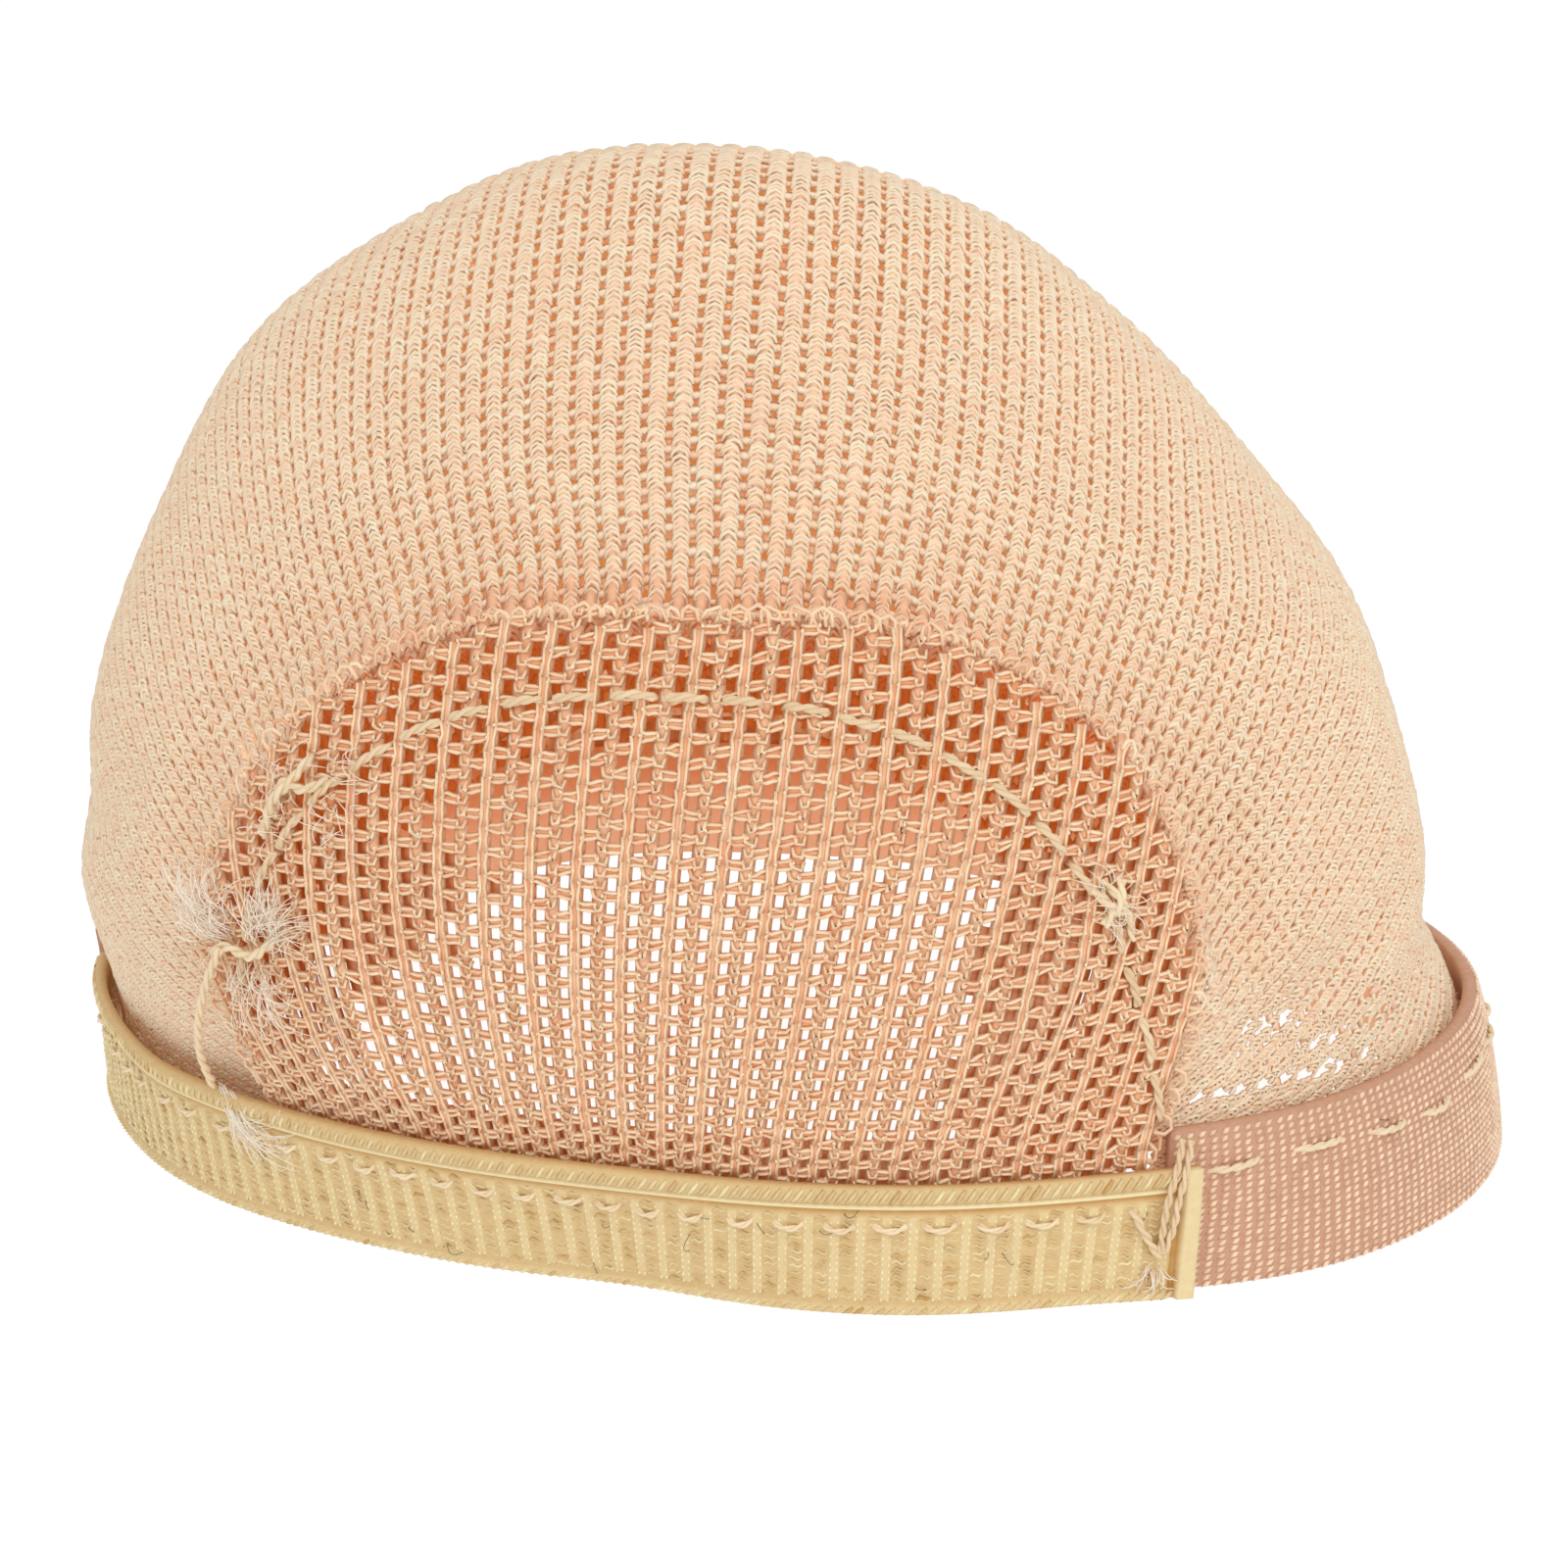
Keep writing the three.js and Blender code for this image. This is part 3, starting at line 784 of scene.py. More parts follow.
# %% [markdown]
# ## The loops of the crown
# Seen close, a wale is a braid of small crescents, each hooked over the next, three to every hole of the net.
# Short recessed rungs tie it to its neighbours, by turns left and right, and the gaps left between the rungs
# are the holes. A flat spine under the crescents closes the braid. Every crescent is one tube with three
# sides, so that some twenty thousand of them stay a light mesh. At the front, which the picture hides, they
# stand further apart. Bump could fake the braid, but not the holes, through which the inside glows.

# %% Crescents
HIDDEN_LEVEL = 0.90
# Columns: share of the wale's pitch across, share of the step between crescents along, height, half width
# as a share of that step.
ARCH_SHAPE = np.array([
    (-0.35, -1.25, -0.44, 0.42), (-0.24, -0.15, -0.37, 0.55), (0.0, 0.45, -0.34, 0.62),
    (0.24, -0.15, -0.37, 0.55), (0.35, -1.25, -0.44, 0.42),
])
ARCH_HALF_HEIGHT, ARCH_MOST_HALF_WIDTH = 0.10, 0.25
ARCH_LOOSE_ACROSS, ARCH_LOOSE_ALONG, ARCH_LOOSE_HEIGHT = 0.03, 0.04, 0.025
ARCH_TONE, ARCH_TONE_SPREAD = 0.88, 0.06


def arches(spots, chosen, arch_step, shape):
    """Crescents at the chosen loops, none where the panel hides them."""
    chosen = chosen & (spots["level"] > HIDDEN_LEVEL)
    wide = spots["wide"][chosen][:, None] * (1 - np.abs(spots["shift"][chosen][:, None]))
    tall = spots["tall"][chosen][:, None] * arch_step
    loose = dice.normal(0, 1, (3, len(wide), 1))
    form = np.stack([shape[:, 0] * wide + ARCH_LOOSE_ACROSS * loose[0],
                     shape[:, 1] * tall + ARCH_LOOSE_ALONG * loose[1],
                     shape[:, 2] + ARCH_LOOSE_HEIGHT * loose[2]], axis=-1)
    half_width = np.minimum(shape[:, 3] * tall, ARCH_MOST_HALF_WIDTH)
    tone = yarn_tones(ARCH_TONE - spots["shade"][chosen], ARCH_TONE_SPREAD, len(wide))
    place = (spots[key][chosen] for key in ("point", "across", "up", "normal"))
    return strands(*place, form, (half_width, ARCH_HALF_HEIGHT), FINE_SIDES, tone)


print("crescent:", len(ARCH_SHAPE), "points")

# %% Rungs and spines
RUNG_DEPTH, RUNG_HALF_HEIGHT, RUNG_THICK, RUNG_INSET = -0.47, 0.35, 0.11, 0.2
RUNG_LEAST, RUNG_MOST, RUNG_SHARE_OF_TALL = 0.8, 1.25, 0.8
RUNG_TONE, RUNG_TONE_SPREAD = 0.78, 0.08
RIBBON_THICK = 0.08
SLIT_CUT = 0.1


def rungs(spots, chosen):
    """Ties from each chosen loop to the next wale, at every second course by turns, none across a slit."""
    tied = chosen & np.roll(spots["here"], -1, axis=0)
    tied &= (spots["rows"].astype(int)[None] + wale[:, None]) % 2 == 0
    tied &= spots["shift"] * np.roll(spots["shift"], -1, axis=0) > -SLIT_CUT ** 2
    tied[-1] = False
    near, far = spots["point"][tied], np.roll(spots["point"], -1, axis=0)[tied]
    half = RUNG_HALF_HEIGHT * dice.uniform(RUNG_LEAST, RUNG_MOST, len(near))
    half = np.minimum(half, RUNG_SHARE_OF_TALL * spots["tall"][tied])[:, None]
    tone = yarn_tones(RUNG_TONE - spots["shade"][tied], RUNG_TONE_SPREAD, len(near))
    inset = RUNG_INSET * (far - near)
    near, far = near + inset, far - inset
    return bars(near, far, spots["normal"][tied], RUNG_DEPTH, half, RUNG_THICK, FINE_SIDES, tone)


def spines(spots, chosen, depth, half_width, courses, tone):
    """Flat ribbons along the wales at a depth, one for every few courses, none across a slit.

    half_width is a share of the wale's pitch.
    """
    carried = chosen & np.roll(spots["here"], -courses, axis=1)
    carried &= spots["rows"].astype(int)[None] % courses == 0
    shifts = np.stack([np.roll(spots["shift"], -step, axis=1) for step in range(courses + 1)])
    carried &= shifts.max(axis=0) - shifts.min(axis=0) < SLIT_CUT
    carried[:, -courses:] = False
    foot, head = spots["point"][carried], np.roll(spots["point"], -courses, axis=1)[carried]
    half = spots["wide"][carried][:, None] * half_width
    tone = np.broadcast_to(tone, carried.shape)[carried] - spots["shade"][carried]
    return bars(foot, head, spots["normal"][carried], depth, half, RIBBON_THICK, FINE_SIDES, tone)


print("places for rungs and spines:", int(tie_spots["here"].sum()))

# %% The crown's pieces
SPINE_DEPTH, SPINE_HALF_WIDTH, SPINE_COURSES, SPINE_TONE = -0.41, 0.40, 3, 0.62
FRONT_ARCH_POINTS = [0, 1, 3, 4]
BACK_THIRD = 16
# Columns: name, first and last wale, whether in front of the ear-to-ear line.
CROWN_PIECES = [
    ("crown_knit_back_left", -HALF_WALES, -BACK_THIRD - 1, False),
    ("crown_knit_back_middle", -BACK_THIRD, BACK_THIRD, False),
    ("crown_knit_back_right", BACK_THIRD + 1, HALF_WALES, False),
    ("crown_knit_front_left", -HALF_WALES, -1, True),
    ("crown_knit_front_right", 0, HALF_WALES, True),
]


def crown_piece(name, first_wale, last_wale, at_front):
    """The braids and ties of a range of wales, on one side of the ear-to-ear line."""
    in_range = ((wale >= first_wale) & (wale <= last_wale))[:, None]
    arch_spots = front_spots if at_front else back_spots
    arch_step = ARCHES_APART_FRONT if at_front else ARCHES_APART_BACK
    shape = ARCH_SHAPE[FRONT_ARCH_POINTS] if at_front else ARCH_SHAPE
    tied = in_range & tie_spots["here"] & ((tie_spots["rows"] >= 0) == at_front)[None]
    parts = [arches(arch_spots, in_range & arch_spots["here"], arch_step, shape), rungs(tie_spots, tied),
             spines(tie_spots, tied, SPINE_DEPTH, SPINE_HALF_WIDTH, SPINE_COURSES, SPINE_TONE)]
    make_piece(name, parts, "crown_yarn", "crown_net")


for piece_row in CROWN_PIECES:
    crown_piece(*piece_row)

# %% [markdown]
# ## The crown's inner face
# The net's wrong side shows through the panel, inside the front, and closes the holes at both sides of the
# back. It could be knitted a second time, but so little of it shows that plain ribbons along the wales will
# do, deepest low down at the front, where least light falls in. They keep clear of the slits, and of the
# hollow beside the panel, where long straight ribbons would come through the loops.

# %% The inner face
INNER_DEPTH, INNER_HALF_WIDTH, INNER_COURSES = -0.54, 0.56, 6
INNER_TONE_LOW, INNER_TONE_HIGH, INNER_LOW, INNER_HIGH = 0.1, 0.7, 12.0, 22.0
INNER_CLEAR_LEFT, INNER_CLEAR_RIGHT = 1.06, 1.27
SLITS_MIDDLE, SLITS_HALF_SPAN, SLITS_TOP = 52.5, 17.0, 14.5

tie_height = tie_spots["point"][..., 2]
inside_front = tie_spots["here"] & (tie_spots["rows"] >= 0)[None]
inside_sides = tie_spots["here"] & (tie_spots["rows"] < 0)[None] & (np.abs(wale) > BACK_THIRD)[:, None]
inside_sides &= tie_spots["level"] > np.where(wale < 0, INNER_CLEAR_LEFT, INNER_CLEAR_RIGHT)[:, None]
near_slits = np.abs(tie_spots["azimuth"] - SLITS_MIDDLE) < SLITS_HALF_SPAN
inside_sides &= ~(near_slits & (tie_height < SLITS_TOP))
inner_rise = smoothstep(tie_height, INNER_LOW, INNER_HIGH)
inner_tone = INNER_TONE_LOW + (INNER_TONE_HIGH - INNER_TONE_LOW) * inner_rise
inner_tone = np.where(inside_sides, INNER_TONE_HIGH, inner_tone)
inner_face = spines(tie_spots, inside_front | inside_sides, INNER_DEPTH, INNER_HALF_WIDTH, INNER_COURSES,
                    inner_tone)
make_piece("crown_knit_inner_face", [inner_face], "inner_yarn")

# %% [markdown]
# ## The hem
# Inside the tape the net is turned up into a narrow flat hem. Little of it shows, but through the holes of
# the panel it is the warm strip just above the white floor. A plain closed band with a few points round is
# enough.

# %% The hem
# The hem's deep tone is painted shade.
HEM_COLUMNS, HEM_INSET, HEM_FOOT, HEM_TOP, HEM_SHADED_TONE = 240, 30, 0.2, 7.8, 0.35
HEM_OUTER, HEM_INNER = -0.62, -0.78
hem_outwards = np.array([HEM_OUTER, HEM_OUTER, HEM_INNER, HEM_INNER])
hem_azimuth = np.linspace(TAPE_FROM + HEM_INSET, TAPE_TO - HEM_INSET, HEM_COLUMNS)[:, None]
hem_azimuth = hem_azimuth + np.zeros_like(hem_outwards)
hem_height = rim_height(hem_azimuth) + np.array([HEM_FOOT, HEM_TOP, HEM_TOP, HEM_FOOT])
hem_elevation = elevation_at_height(hem_azimuth, hem_height, hem_outwards)
hem_band = band_loop(dome_point(hem_azimuth, hem_elevation, hem_outwards), HEM_SHADED_TONE)
make_piece("crown_hem", [hem_band], "crown_yarn")

# %% [markdown]
# ## The nape panel, wrong side out
# The same net from behind looks like a ladder: upright posts, by turns a pair of smooth threads and a column
# of small loops, tied by rungs of two strands. The holes of neighbouring columns are half a step apart. Posts
# and rungs are laid out on a lattice of azimuth and height, narrower at the foot where the elastic gathers
# the net, and kept only inside the D-shaped outline. The holes stay real holes, so the floor shines through.

# %% The lattice of the nape panel
PANEL_LAYER, FULL_FOLD_HEIGHT = 0.78, 10.0
COLUMN_TURN_LOW, COLUMN_TURN_HIGH = 1.81, 2.28
COLUMN_LOW_HEIGHT, COLUMN_HIGH_HEIGHT = 8.0, 33.0
HOLE_PITCH_LOW, HOLE_PITCH_HIGH = 1.06, 1.26
POST_LEAN = 0.15
PANEL_POSTS = np.arange(-30, 31)
PANEL_ROWS = np.arange(0, 62)
HEIGHT_SAMPLES, PANEL_STEP = 400, 0.2


def panel_point(azimuth, height):
    """Middle layer of the panel at an azimuth and a height, with the panel's own folds above the elastic."""
    elevation = elevation_at_height(azimuth, height, PANEL_LAYER)
    clear = smoothstep(height, ELASTIC_HEIGHT, FULL_FOLD_HEIGHT)
    return dome_point(azimuth, elevation, PANEL_LAYER + clear * fold_rise(PANEL_FOLDS, azimuth, elevation))


lattice_ends = [COLUMN_LOW_HEIGHT, COLUMN_HIGH_HEIGHT]
height_steps = np.linspace(HEM, PANEL_TOP + 1, HEIGHT_SAMPLES)
rows_per_mm = 2 / np.interp(height_steps, lattice_ends, [HOLE_PITCH_LOW, HOLE_PITCH_HIGH])
rows_below = np.cumsum(rows_per_mm) * (height_steps[1] - height_steps[0])
row_height = np.interp(PANEL_ROWS, rows_below, height_steps)[None]
post_turn = np.interp(row_height, lattice_ends, [COLUMN_TURN_LOW, COLUMN_TURN_HIGH])
post_azimuth = PANEL_MIDDLE - POST_LEAN * (COLUMN_HIGH_HEIGHT - row_height) + PANEL_POSTS[:, None] * post_turn
row_height = np.broadcast_to(row_height, post_azimuth.shape)
post_point, post_across, post_up, post_normal = surface_frame(
    panel_point, post_azimuth, row_height, PANEL_STEP)
post_side, post_row = panel_shares(post_azimuth, row_height)
post_here = (np.abs(post_side) <= 1) & (post_row <= 1) & (post_row >= 0)


def shifted(array, posts, rows):
    """The array seen from a lattice place that many posts and rows away."""
    return np.roll(array, (-posts, -rows), axis=(0, 1))


print("panel lattice places inside the outline:", int(post_here.sum()))

# %% Posts of the nape panel
POST_HALF_WIDTH, POST_DEPTH, POST_TONE = 0.38, -0.04, 0.47
FLAT_HALF, FLAT_TONE_SPREAD = 0.09, 0.08
THREAD_HALF_WIDTH, THREAD_HALF_HEIGHT, THREAD_TONE = 0.125, 0.11, 0.84
POST_THREAD_SWAY = np.array([0.21, 0.14, 0.21])[:, None]
POST_THREAD_LOOSE, POST_THREAD_LIFT, POST_THREAD_TONE_SPREAD = 0.03, 0.08, 0.07
# Columns: across, up, height. The twist turns the two halves of a loop against each other.
LOOP_SHAPE = np.array([(-0.25, 0.26, -0.02), (-0.15, -0.12, 0.13), (0.15, -0.12, 0.13), (0.25, 0.26, -0.02)])
LOOP_TWIST = np.array([(-1, 1, 0), (-1, 1, 0), (1, -1, 0), (1, -1, 0)])
LOOP_SIZES, LOOP_LOOSE, LOOP_TONE, LOOP_TONE_SPREAD = (0.14, 0.11), 0.05, 0.82, 0.08


def posts_of_panel():
    """Flat posts, with two threads on every even one and small loops on every odd one."""
    smooth = np.broadcast_to((PANEL_POSTS % 2 == 0)[:, None], post_here.shape)
    first = np.broadcast_to((PANEL_ROWS % 2 == 0)[None], post_here.shape)
    whole = post_here & shifted(post_here, 0, 1) & shifted(post_here, 0, 2) & first
    whole[:, -2:] = False
    foot, head = post_point[whole], shifted(post_point, 0, 2)[whole]
    tone = yarn_tones(POST_TONE, FLAT_TONE_SPREAD, len(foot))
    parts = [bars(foot, head, post_normal[whole], POST_DEPTH, POST_HALF_WIDTH, FLAT_HALF, FLAT_SIDES, tone)]
    chosen = whole & smooth
    post = np.stack([shifted(post_point, 0, k)[chosen] for k in range(3)], axis=1)
    normals = np.stack([shifted(post_normal, 0, k)[chosen] for k in range(3)], axis=1)
    for side in (-1, 1):
        sway = POST_THREAD_SWAY * side + dice.normal(0, POST_THREAD_LOOSE, (len(post), 3, 1))
        paths = post + post_across[chosen][:, None] * sway + normals * POST_THREAD_LIFT
        tone = yarn_tones(THREAD_TONE, POST_THREAD_TONE_SPREAD, len(post))
        parts.append(tubes(paths, normals, THREAD_HALF_WIDTH, THREAD_HALF_HEIGHT, FINE_SIDES, tone))
    looped = post_here & ~smooth
    lean = dice.normal(0, LOOP_LOOSE, (looped.sum(), 1, 1)) * LOOP_TWIST
    tone = yarn_tones(LOOP_TONE, LOOP_TONE_SPREAD, looped.sum())
    place = (array[looped] for array in (post_point, post_across, post_up, post_normal))
    parts.append(strands(*place, LOOP_SHAPE + lean, LOOP_SIZES, FINE_SIDES, tone))
    return parts


panel_posts = posts_of_panel()
print("posts, threads and loops:", sum(len(part[0]) for part in panel_posts), "vertices")

# %% Rungs of the nape panel
RUNG_HALF_TALL, PANEL_RUNG_DEPTH, PANEL_RUNG_INSET, PANEL_RUNG_TONE = 0.27, -0.05, 0.16, 0.42
# A rung's two strands: how far up they lie, and the shares along, tilt and height of their four points.
STRAND_LIFTS = (0.17, -0.16)
STRAND_SHARES = np.array([0.12, 0.37, 0.63, 0.88])[:, None]
STRAND_TILT = np.array([-1, -0.4, 0.4, 1])[:, None]
STRAND_HEIGHT = np.array([-0.02, 0.11, 0.11, -0.02])[:, None]
TILT_MIDDLE, TILT_SPREAD, STRAND_LOOSE, STRAND_TONE_SPREAD = 0.03, 0.06, 0.03, 0.09
# The grain where a strand goes round a post, made pale as a painted highlight.
TURN_SHARES, TURN_LENGTHS, TURN_LIFT = (0.14, 0.86), (0.17, 0.10, 0.09), 0.12
TURN_LOOSE, TURN_SLANT, TURN_HIGHLIGHT_TONE, TURN_HIGHLIGHT_SPREAD = 0.12, 0.7, 0.95, 0.08


def rungs_of_panel():
    """A flat rung between two posts at every second row by turns, with two slanted strands on it."""
    between = post_here & shifted(post_here, 1, 0)
    between &= (PANEL_POSTS[:, None] + PANEL_ROWS[None]) % 2 == 0
    between[-1] = False
    near, far = post_point[between], shifted(post_point, 1, 0)[between]
    up, normal, count = post_up[between], post_normal[between], len(near)
    inset = PANEL_RUNG_INSET * (far - near)
    tone = yarn_tones(PANEL_RUNG_TONE, FLAT_TONE_SPREAD, count)
    parts = [bars(near + inset, far - inset, normal, PANEL_RUNG_DEPTH, RUNG_HALF_TALL, FLAT_HALF,
                  FLAT_SIDES, tone)]
    for lift in STRAND_LIFTS:
        tilt = dice.normal(TILT_MIDDLE, TILT_SPREAD, (count, 1, 1)) * STRAND_TILT
        tilt = tilt + dice.normal(0, STRAND_LOOSE, (count, len(STRAND_TILT), 1))
        paths = near[:, None] + (far - near)[:, None] * STRAND_SHARES + up[:, None] * (lift + tilt)
        paths = paths + normal[:, None] * STRAND_HEIGHT
        normals = np.broadcast_to(normal[:, None], paths.shape)
        tone = yarn_tones(THREAD_TONE, STRAND_TONE_SPREAD, count)
        parts.append(tubes(paths, normals, THREAD_HALF_WIDTH, THREAD_HALF_HEIGHT, FINE_SIDES, tone))
    # A grain near each end of the rung, its pale tone a painted highlight.
    for share in TURN_SHARES:
        spot = near + (far - near) * share + up * dice.normal(0, TURN_LOOSE, (count, 1)) + normal * TURN_LIFT
        long_axis = unit(up + post_across[between] * dice.normal(0, TURN_SLANT, (count, 1)))
        tone = yarn_tones(TURN_HIGHLIGHT_TONE, TURN_HIGHLIGHT_SPREAD, count)
        parts.append(grains(spot, long_axis, np.cross(long_axis, normal), normal, TURN_LENGTHS, tone))
    return parts


panel_rungs = rungs_of_panel()
print("rungs:", sum(len(part[0]) for part in panel_rungs), "vertices")

# %% [markdown]
# ## The fold behind the panel
# In the picture the floor shines through the middle of the panel only. At its two sides and along its foot
# the holes are filled with warm shade, so we take the cloth to lie double there, folded in and sewn. A second
# lattice would do, but behind the holes flat bars beside the posts look the same.

# %% The fold behind the panel
FOLD_DEPTH, FOLD_HALF_WIDTH, FOLD_RAGGED = -0.42, 0.50, 1.6
FOLD_TOP, FOLD_FOOT, FOLD_FADE = 23.0, 8.2, 14.0
# Azimuth of the fold's inner line at the fold's height, and how far it leans with each millimetre up.
FOLD_HEIGHT = 17.0
RIGHT_FOLD, RIGHT_FOLD_SLANT = 15.9, 0.32
LEFT_FOLD, LEFT_FOLD_SLANT = -34.4, 1.63
# Tones of the bars at the fold's line and far from it. The deeper far tone is painted shade.
FOLD_TONE_NEAR, FOLD_TONE_FAR_SHADED, FOLD_TONE_SPREAD = 0.42, 0.14, 0.06


def fold_of_panel():
    """Flat bars that close the holes from behind, half a post beside the panel's own posts.

    At each side they reach in to a slanting, slightly ragged line, near which they are pale, and they get
    deeper with the distance from it: painted shade, like that which fills the holes there.
    """
    past_right = post_azimuth - (RIGHT_FOLD + RIGHT_FOLD_SLANT * (row_height - FOLD_HEIGHT))
    past_left = LEFT_FOLD + LEFT_FOLD_SLANT * (row_height - FOLD_HEIGHT) - post_azimuth
    past = np.maximum(past_right, past_left) + dice.normal(0, FOLD_RAGGED, post_azimuth.shape)
    double = post_here & shifted(post_here, 1, 0) & shifted(post_here, 0, 2) & shifted(post_here, 1, 2)
    double &= ((past > 0) & (row_height < FOLD_TOP)) | (row_height < FOLD_FOOT)
    double &= (PANEL_ROWS % 2 == 0)[None]
    double[-1] = False
    double[:, -2:] = False
    tone = FOLD_TONE_NEAR + (FOLD_TONE_FAR_SHADED - FOLD_TONE_NEAR) * smoothstep(past[double], 0, FOLD_FADE)
    corner = [shifted(post_point, *step)[double] for step in ((0, 0), (1, 0), (0, 2), (1, 2))]
    foot, head = (corner[0] + corner[1]) / 2, (corner[2] + corner[3]) / 2
    tone = yarn_tones(tone, FOLD_TONE_SPREAD, len(foot))
    return bars(foot, head, post_normal[double], FOLD_DEPTH, FOLD_HALF_WIDTH, FLAT_HALF, FLAT_SIDES, tone)


make_piece("nape_knit", panel_posts + panel_rungs + [fold_of_panel()], "nape_yarn", "nape_panel")

# %% [markdown]
# ## The raw edge of the panel
# The panel was cut out and never hemmed, so its edge is a row of cut loops that stand up by all amounts. Each
# is a short bent strand, seated on the outline and leaning outwards, with seeded chance in its lean and size.

# %% Places along the raw edge
EDGE_LOOP_COUNT, EDGE_FOOT = 120, 0.2
SIDE_SAMPLES, TOP_SAMPLES = 60, 120

rise_share = np.linspace(EDGE_FOOT, 1, SIDE_SAMPLES)
width_share = np.linspace(-1, 1, TOP_SAMPLES)
outline_side = np.concatenate([-np.ones(SIDE_SAMPLES), width_share[1:-1], np.ones(SIDE_SAMPLES)])
outline_row = np.concatenate([rise_share, np.ones(TOP_SAMPLES - 2), rise_share[::-1]])
outline_azimuth, outline_height = panel_place(outline_side, outline_row)
outline_length = arc_length(panel_point(outline_azimuth, outline_height))
edge_at = np.linspace(0, outline_length[-1], EDGE_LOOP_COUNT)
edge_azimuth = np.interp(edge_at, outline_length, outline_azimuth)
edge_height = np.interp(edge_at, outline_length, outline_height)
edge_point, _, _, edge_normal = surface_frame(panel_point, edge_azimuth, edge_height, PANEL_STEP)
edge_along = unit(np.gradient(edge_point, axis=0))
edge_out = unit(np.cross(edge_normal, edge_along))
print(f"raw edge: {outline_length[-1]:.0f} mm")

# %% The raw edge
EDGE_SMALLEST, EDGE_LARGEST, EDGE_LEAN, EDGE_LIFT = 0.35, 1.5, 0.3, 0.06
EDGE_HALF, EDGE_TONE, EDGE_TONE_SPREAD = 0.11, 0.75, 0.1
# The five points of a cut loop: along the edge, share of the lean, outwards, and height.
EDGE_SHAPE_ALONG = np.array([-0.42, -0.34, 0.0, 0.34, 0.42])
EDGE_SHAPE_LEAN = np.array([0, 0.5, 1, 0.5, 0])
EDGE_SHAPE_OUT = np.array([-0.45, 0.05, 0.26, 0.05, -0.45])
EDGE_SHAPE_HEIGHT = np.array([0.0, 0.08, 0.12, 0.10, 0.02])

edge_size = dice.uniform(EDGE_SMALLEST, EDGE_LARGEST, EDGE_LOOP_COUNT)[:, None]
edge_lean = dice.normal(0, EDGE_LEAN, EDGE_LOOP_COUNT)[:, None]
edge_shape = np.stack([EDGE_SHAPE_ALONG * edge_size + edge_lean * EDGE_SHAPE_LEAN, EDGE_SHAPE_OUT * edge_size,
                       EDGE_SHAPE_HEIGHT + dice.normal(0, EDGE_LIFT, (EDGE_LOOP_COUNT, 1))], axis=-1)
edge_loops = strands(edge_point, edge_along, edge_out, edge_normal, edge_shape, (EDGE_HALF, EDGE_HALF),
                     FLAT_SIDES, yarn_tones(EDGE_TONE, EDGE_TONE_SPREAD, EDGE_LOOP_COUNT))
make_piece("nape_raw_edge", [edge_loops], "nape_yarn")

# %% [markdown]
# ## The elastic
# A woven elastic has two rolled edges, a groove under the upper one, and upright ribs between. It is a
# profile carried along the rim: the outer face follows a thickness that depends on the height and on the
# place along the band, and the inner face is plain. Small grains along both borders of each rib and ladder
# strands between the ribs are its weave. At its right end it was cut and sealed, which left a smooth pale
# strip.

# %% The way of the elastic
ELASTIC_CLOSE_LAYER, ELASTIC_STEP_OUT = 0.3, 1.3
ELASTIC_CLOSE_BEFORE, ELASTIC_CLEAR_AFTER = -92.0, -60.0
ELASTIC_COLUMNS, BAND_STEP = 640, 0.1


def band_point(azimuth, height, outwards):
    """A point of a rim band: a height above the rim on the dome moved outwards."""
    level = rim_height(azimuth) + height
    return dome_point(azimuth, elevation_at_height(azimuth, level, outwards), outwards)


def elastic_surface(azimuth, height):
    """Inner face of the elastic: close to the net at its left end, and clear of the panel elsewhere."""
    clear = smoothstep(azimuth, ELASTIC_CLOSE_BEFORE, ELASTIC_CLEAR_AFTER)
    return band_point(azimuth, height, ELASTIC_CLOSE_LAYER + ELASTIC_STEP_OUT * clear)


elastic_azimuth = np.linspace(ELASTIC_FROM, ELASTIC_TO, ELASTIC_COLUMNS)
elastic_along = arc_length(elastic_surface(elastic_azimuth, np.full(ELASTIC_COLUMNS, ELASTIC_HEIGHT / 2)))
print(f"elastic: {elastic_along[-1]:.1f} mm long")

# %% Ribs, cords and sealed end
RIB_PITCH, RIB_FOOT, RIB_HEAD = 1.27, 0.115, 0.79
RIB_STEEPNESS, RIB_CUT = 2.2, 0.3
STRIP_START, STRIP_SLOPE = elastic_along[-1] - 0.85, 0.08
GROOVE_START, GROOVE_SLOPE = elastic_along[-1] - 1.3, 0.1
# The upper and lower rolled edges, the thin pale line and the groove below it, whose lower tone is painted
# shade. Columns: middle and half width as shares of the height, thickness, tone.
ELASTIC_CORDS = [
    (0.94, 0.062, 0.16, 0.0),
    (0.04, 0.045, 0.18, 0.0),
    (0.857, 0.014, 0.16, 0.65),
    (0.822, 0.016, -0.10, -0.3),
]
CORD_THICKNESS, CORD_TONE = 2, 3


def round_cord(share, middle, half):
    """Half circle over middle plus or minus half, and 0 outside."""
    return np.sqrt(np.maximum(1 - ((share - middle) / half) ** 2, 0))


def rib_height(along, share):
    """1 on a rib's flat top and 0 between ribs, with short slopes, between the foot and head of the ribs."""
    wave = np.clip(RIB_STEEPNESS * np.cos(2 * np.pi * along / RIB_PITCH) - RIB_CUT, 0, 1)
    return wave * (share > RIB_FOOT) * (share < RIB_HEAD)


def woven_part(along, share, ground, on_rib, column):
    """The ground, the ribs and one column of the table of cords, added up."""
    total = ground + on_rib * rib_height(along, share)
    for cord in ELASTIC_CORDS:
        total = total + cord[column] * round_cord(share, cord[0], cord[1])
    return total


def with_end(along, woven, strip, groove):
    """The woven value, that of the sealed strip at the right end, and less in the groove beside the strip."""
    on_strip = smoothstep(along, STRIP_START - STRIP_SLOPE, STRIP_START)
    in_groove = (1 - on_strip) * smoothstep(along, GROOVE_START - GROOVE_SLOPE, GROOVE_START)
    return woven + (strip - woven) * on_strip - groove * in_groove


print("ribs:", int(elastic_along[-1] / RIB_PITCH))

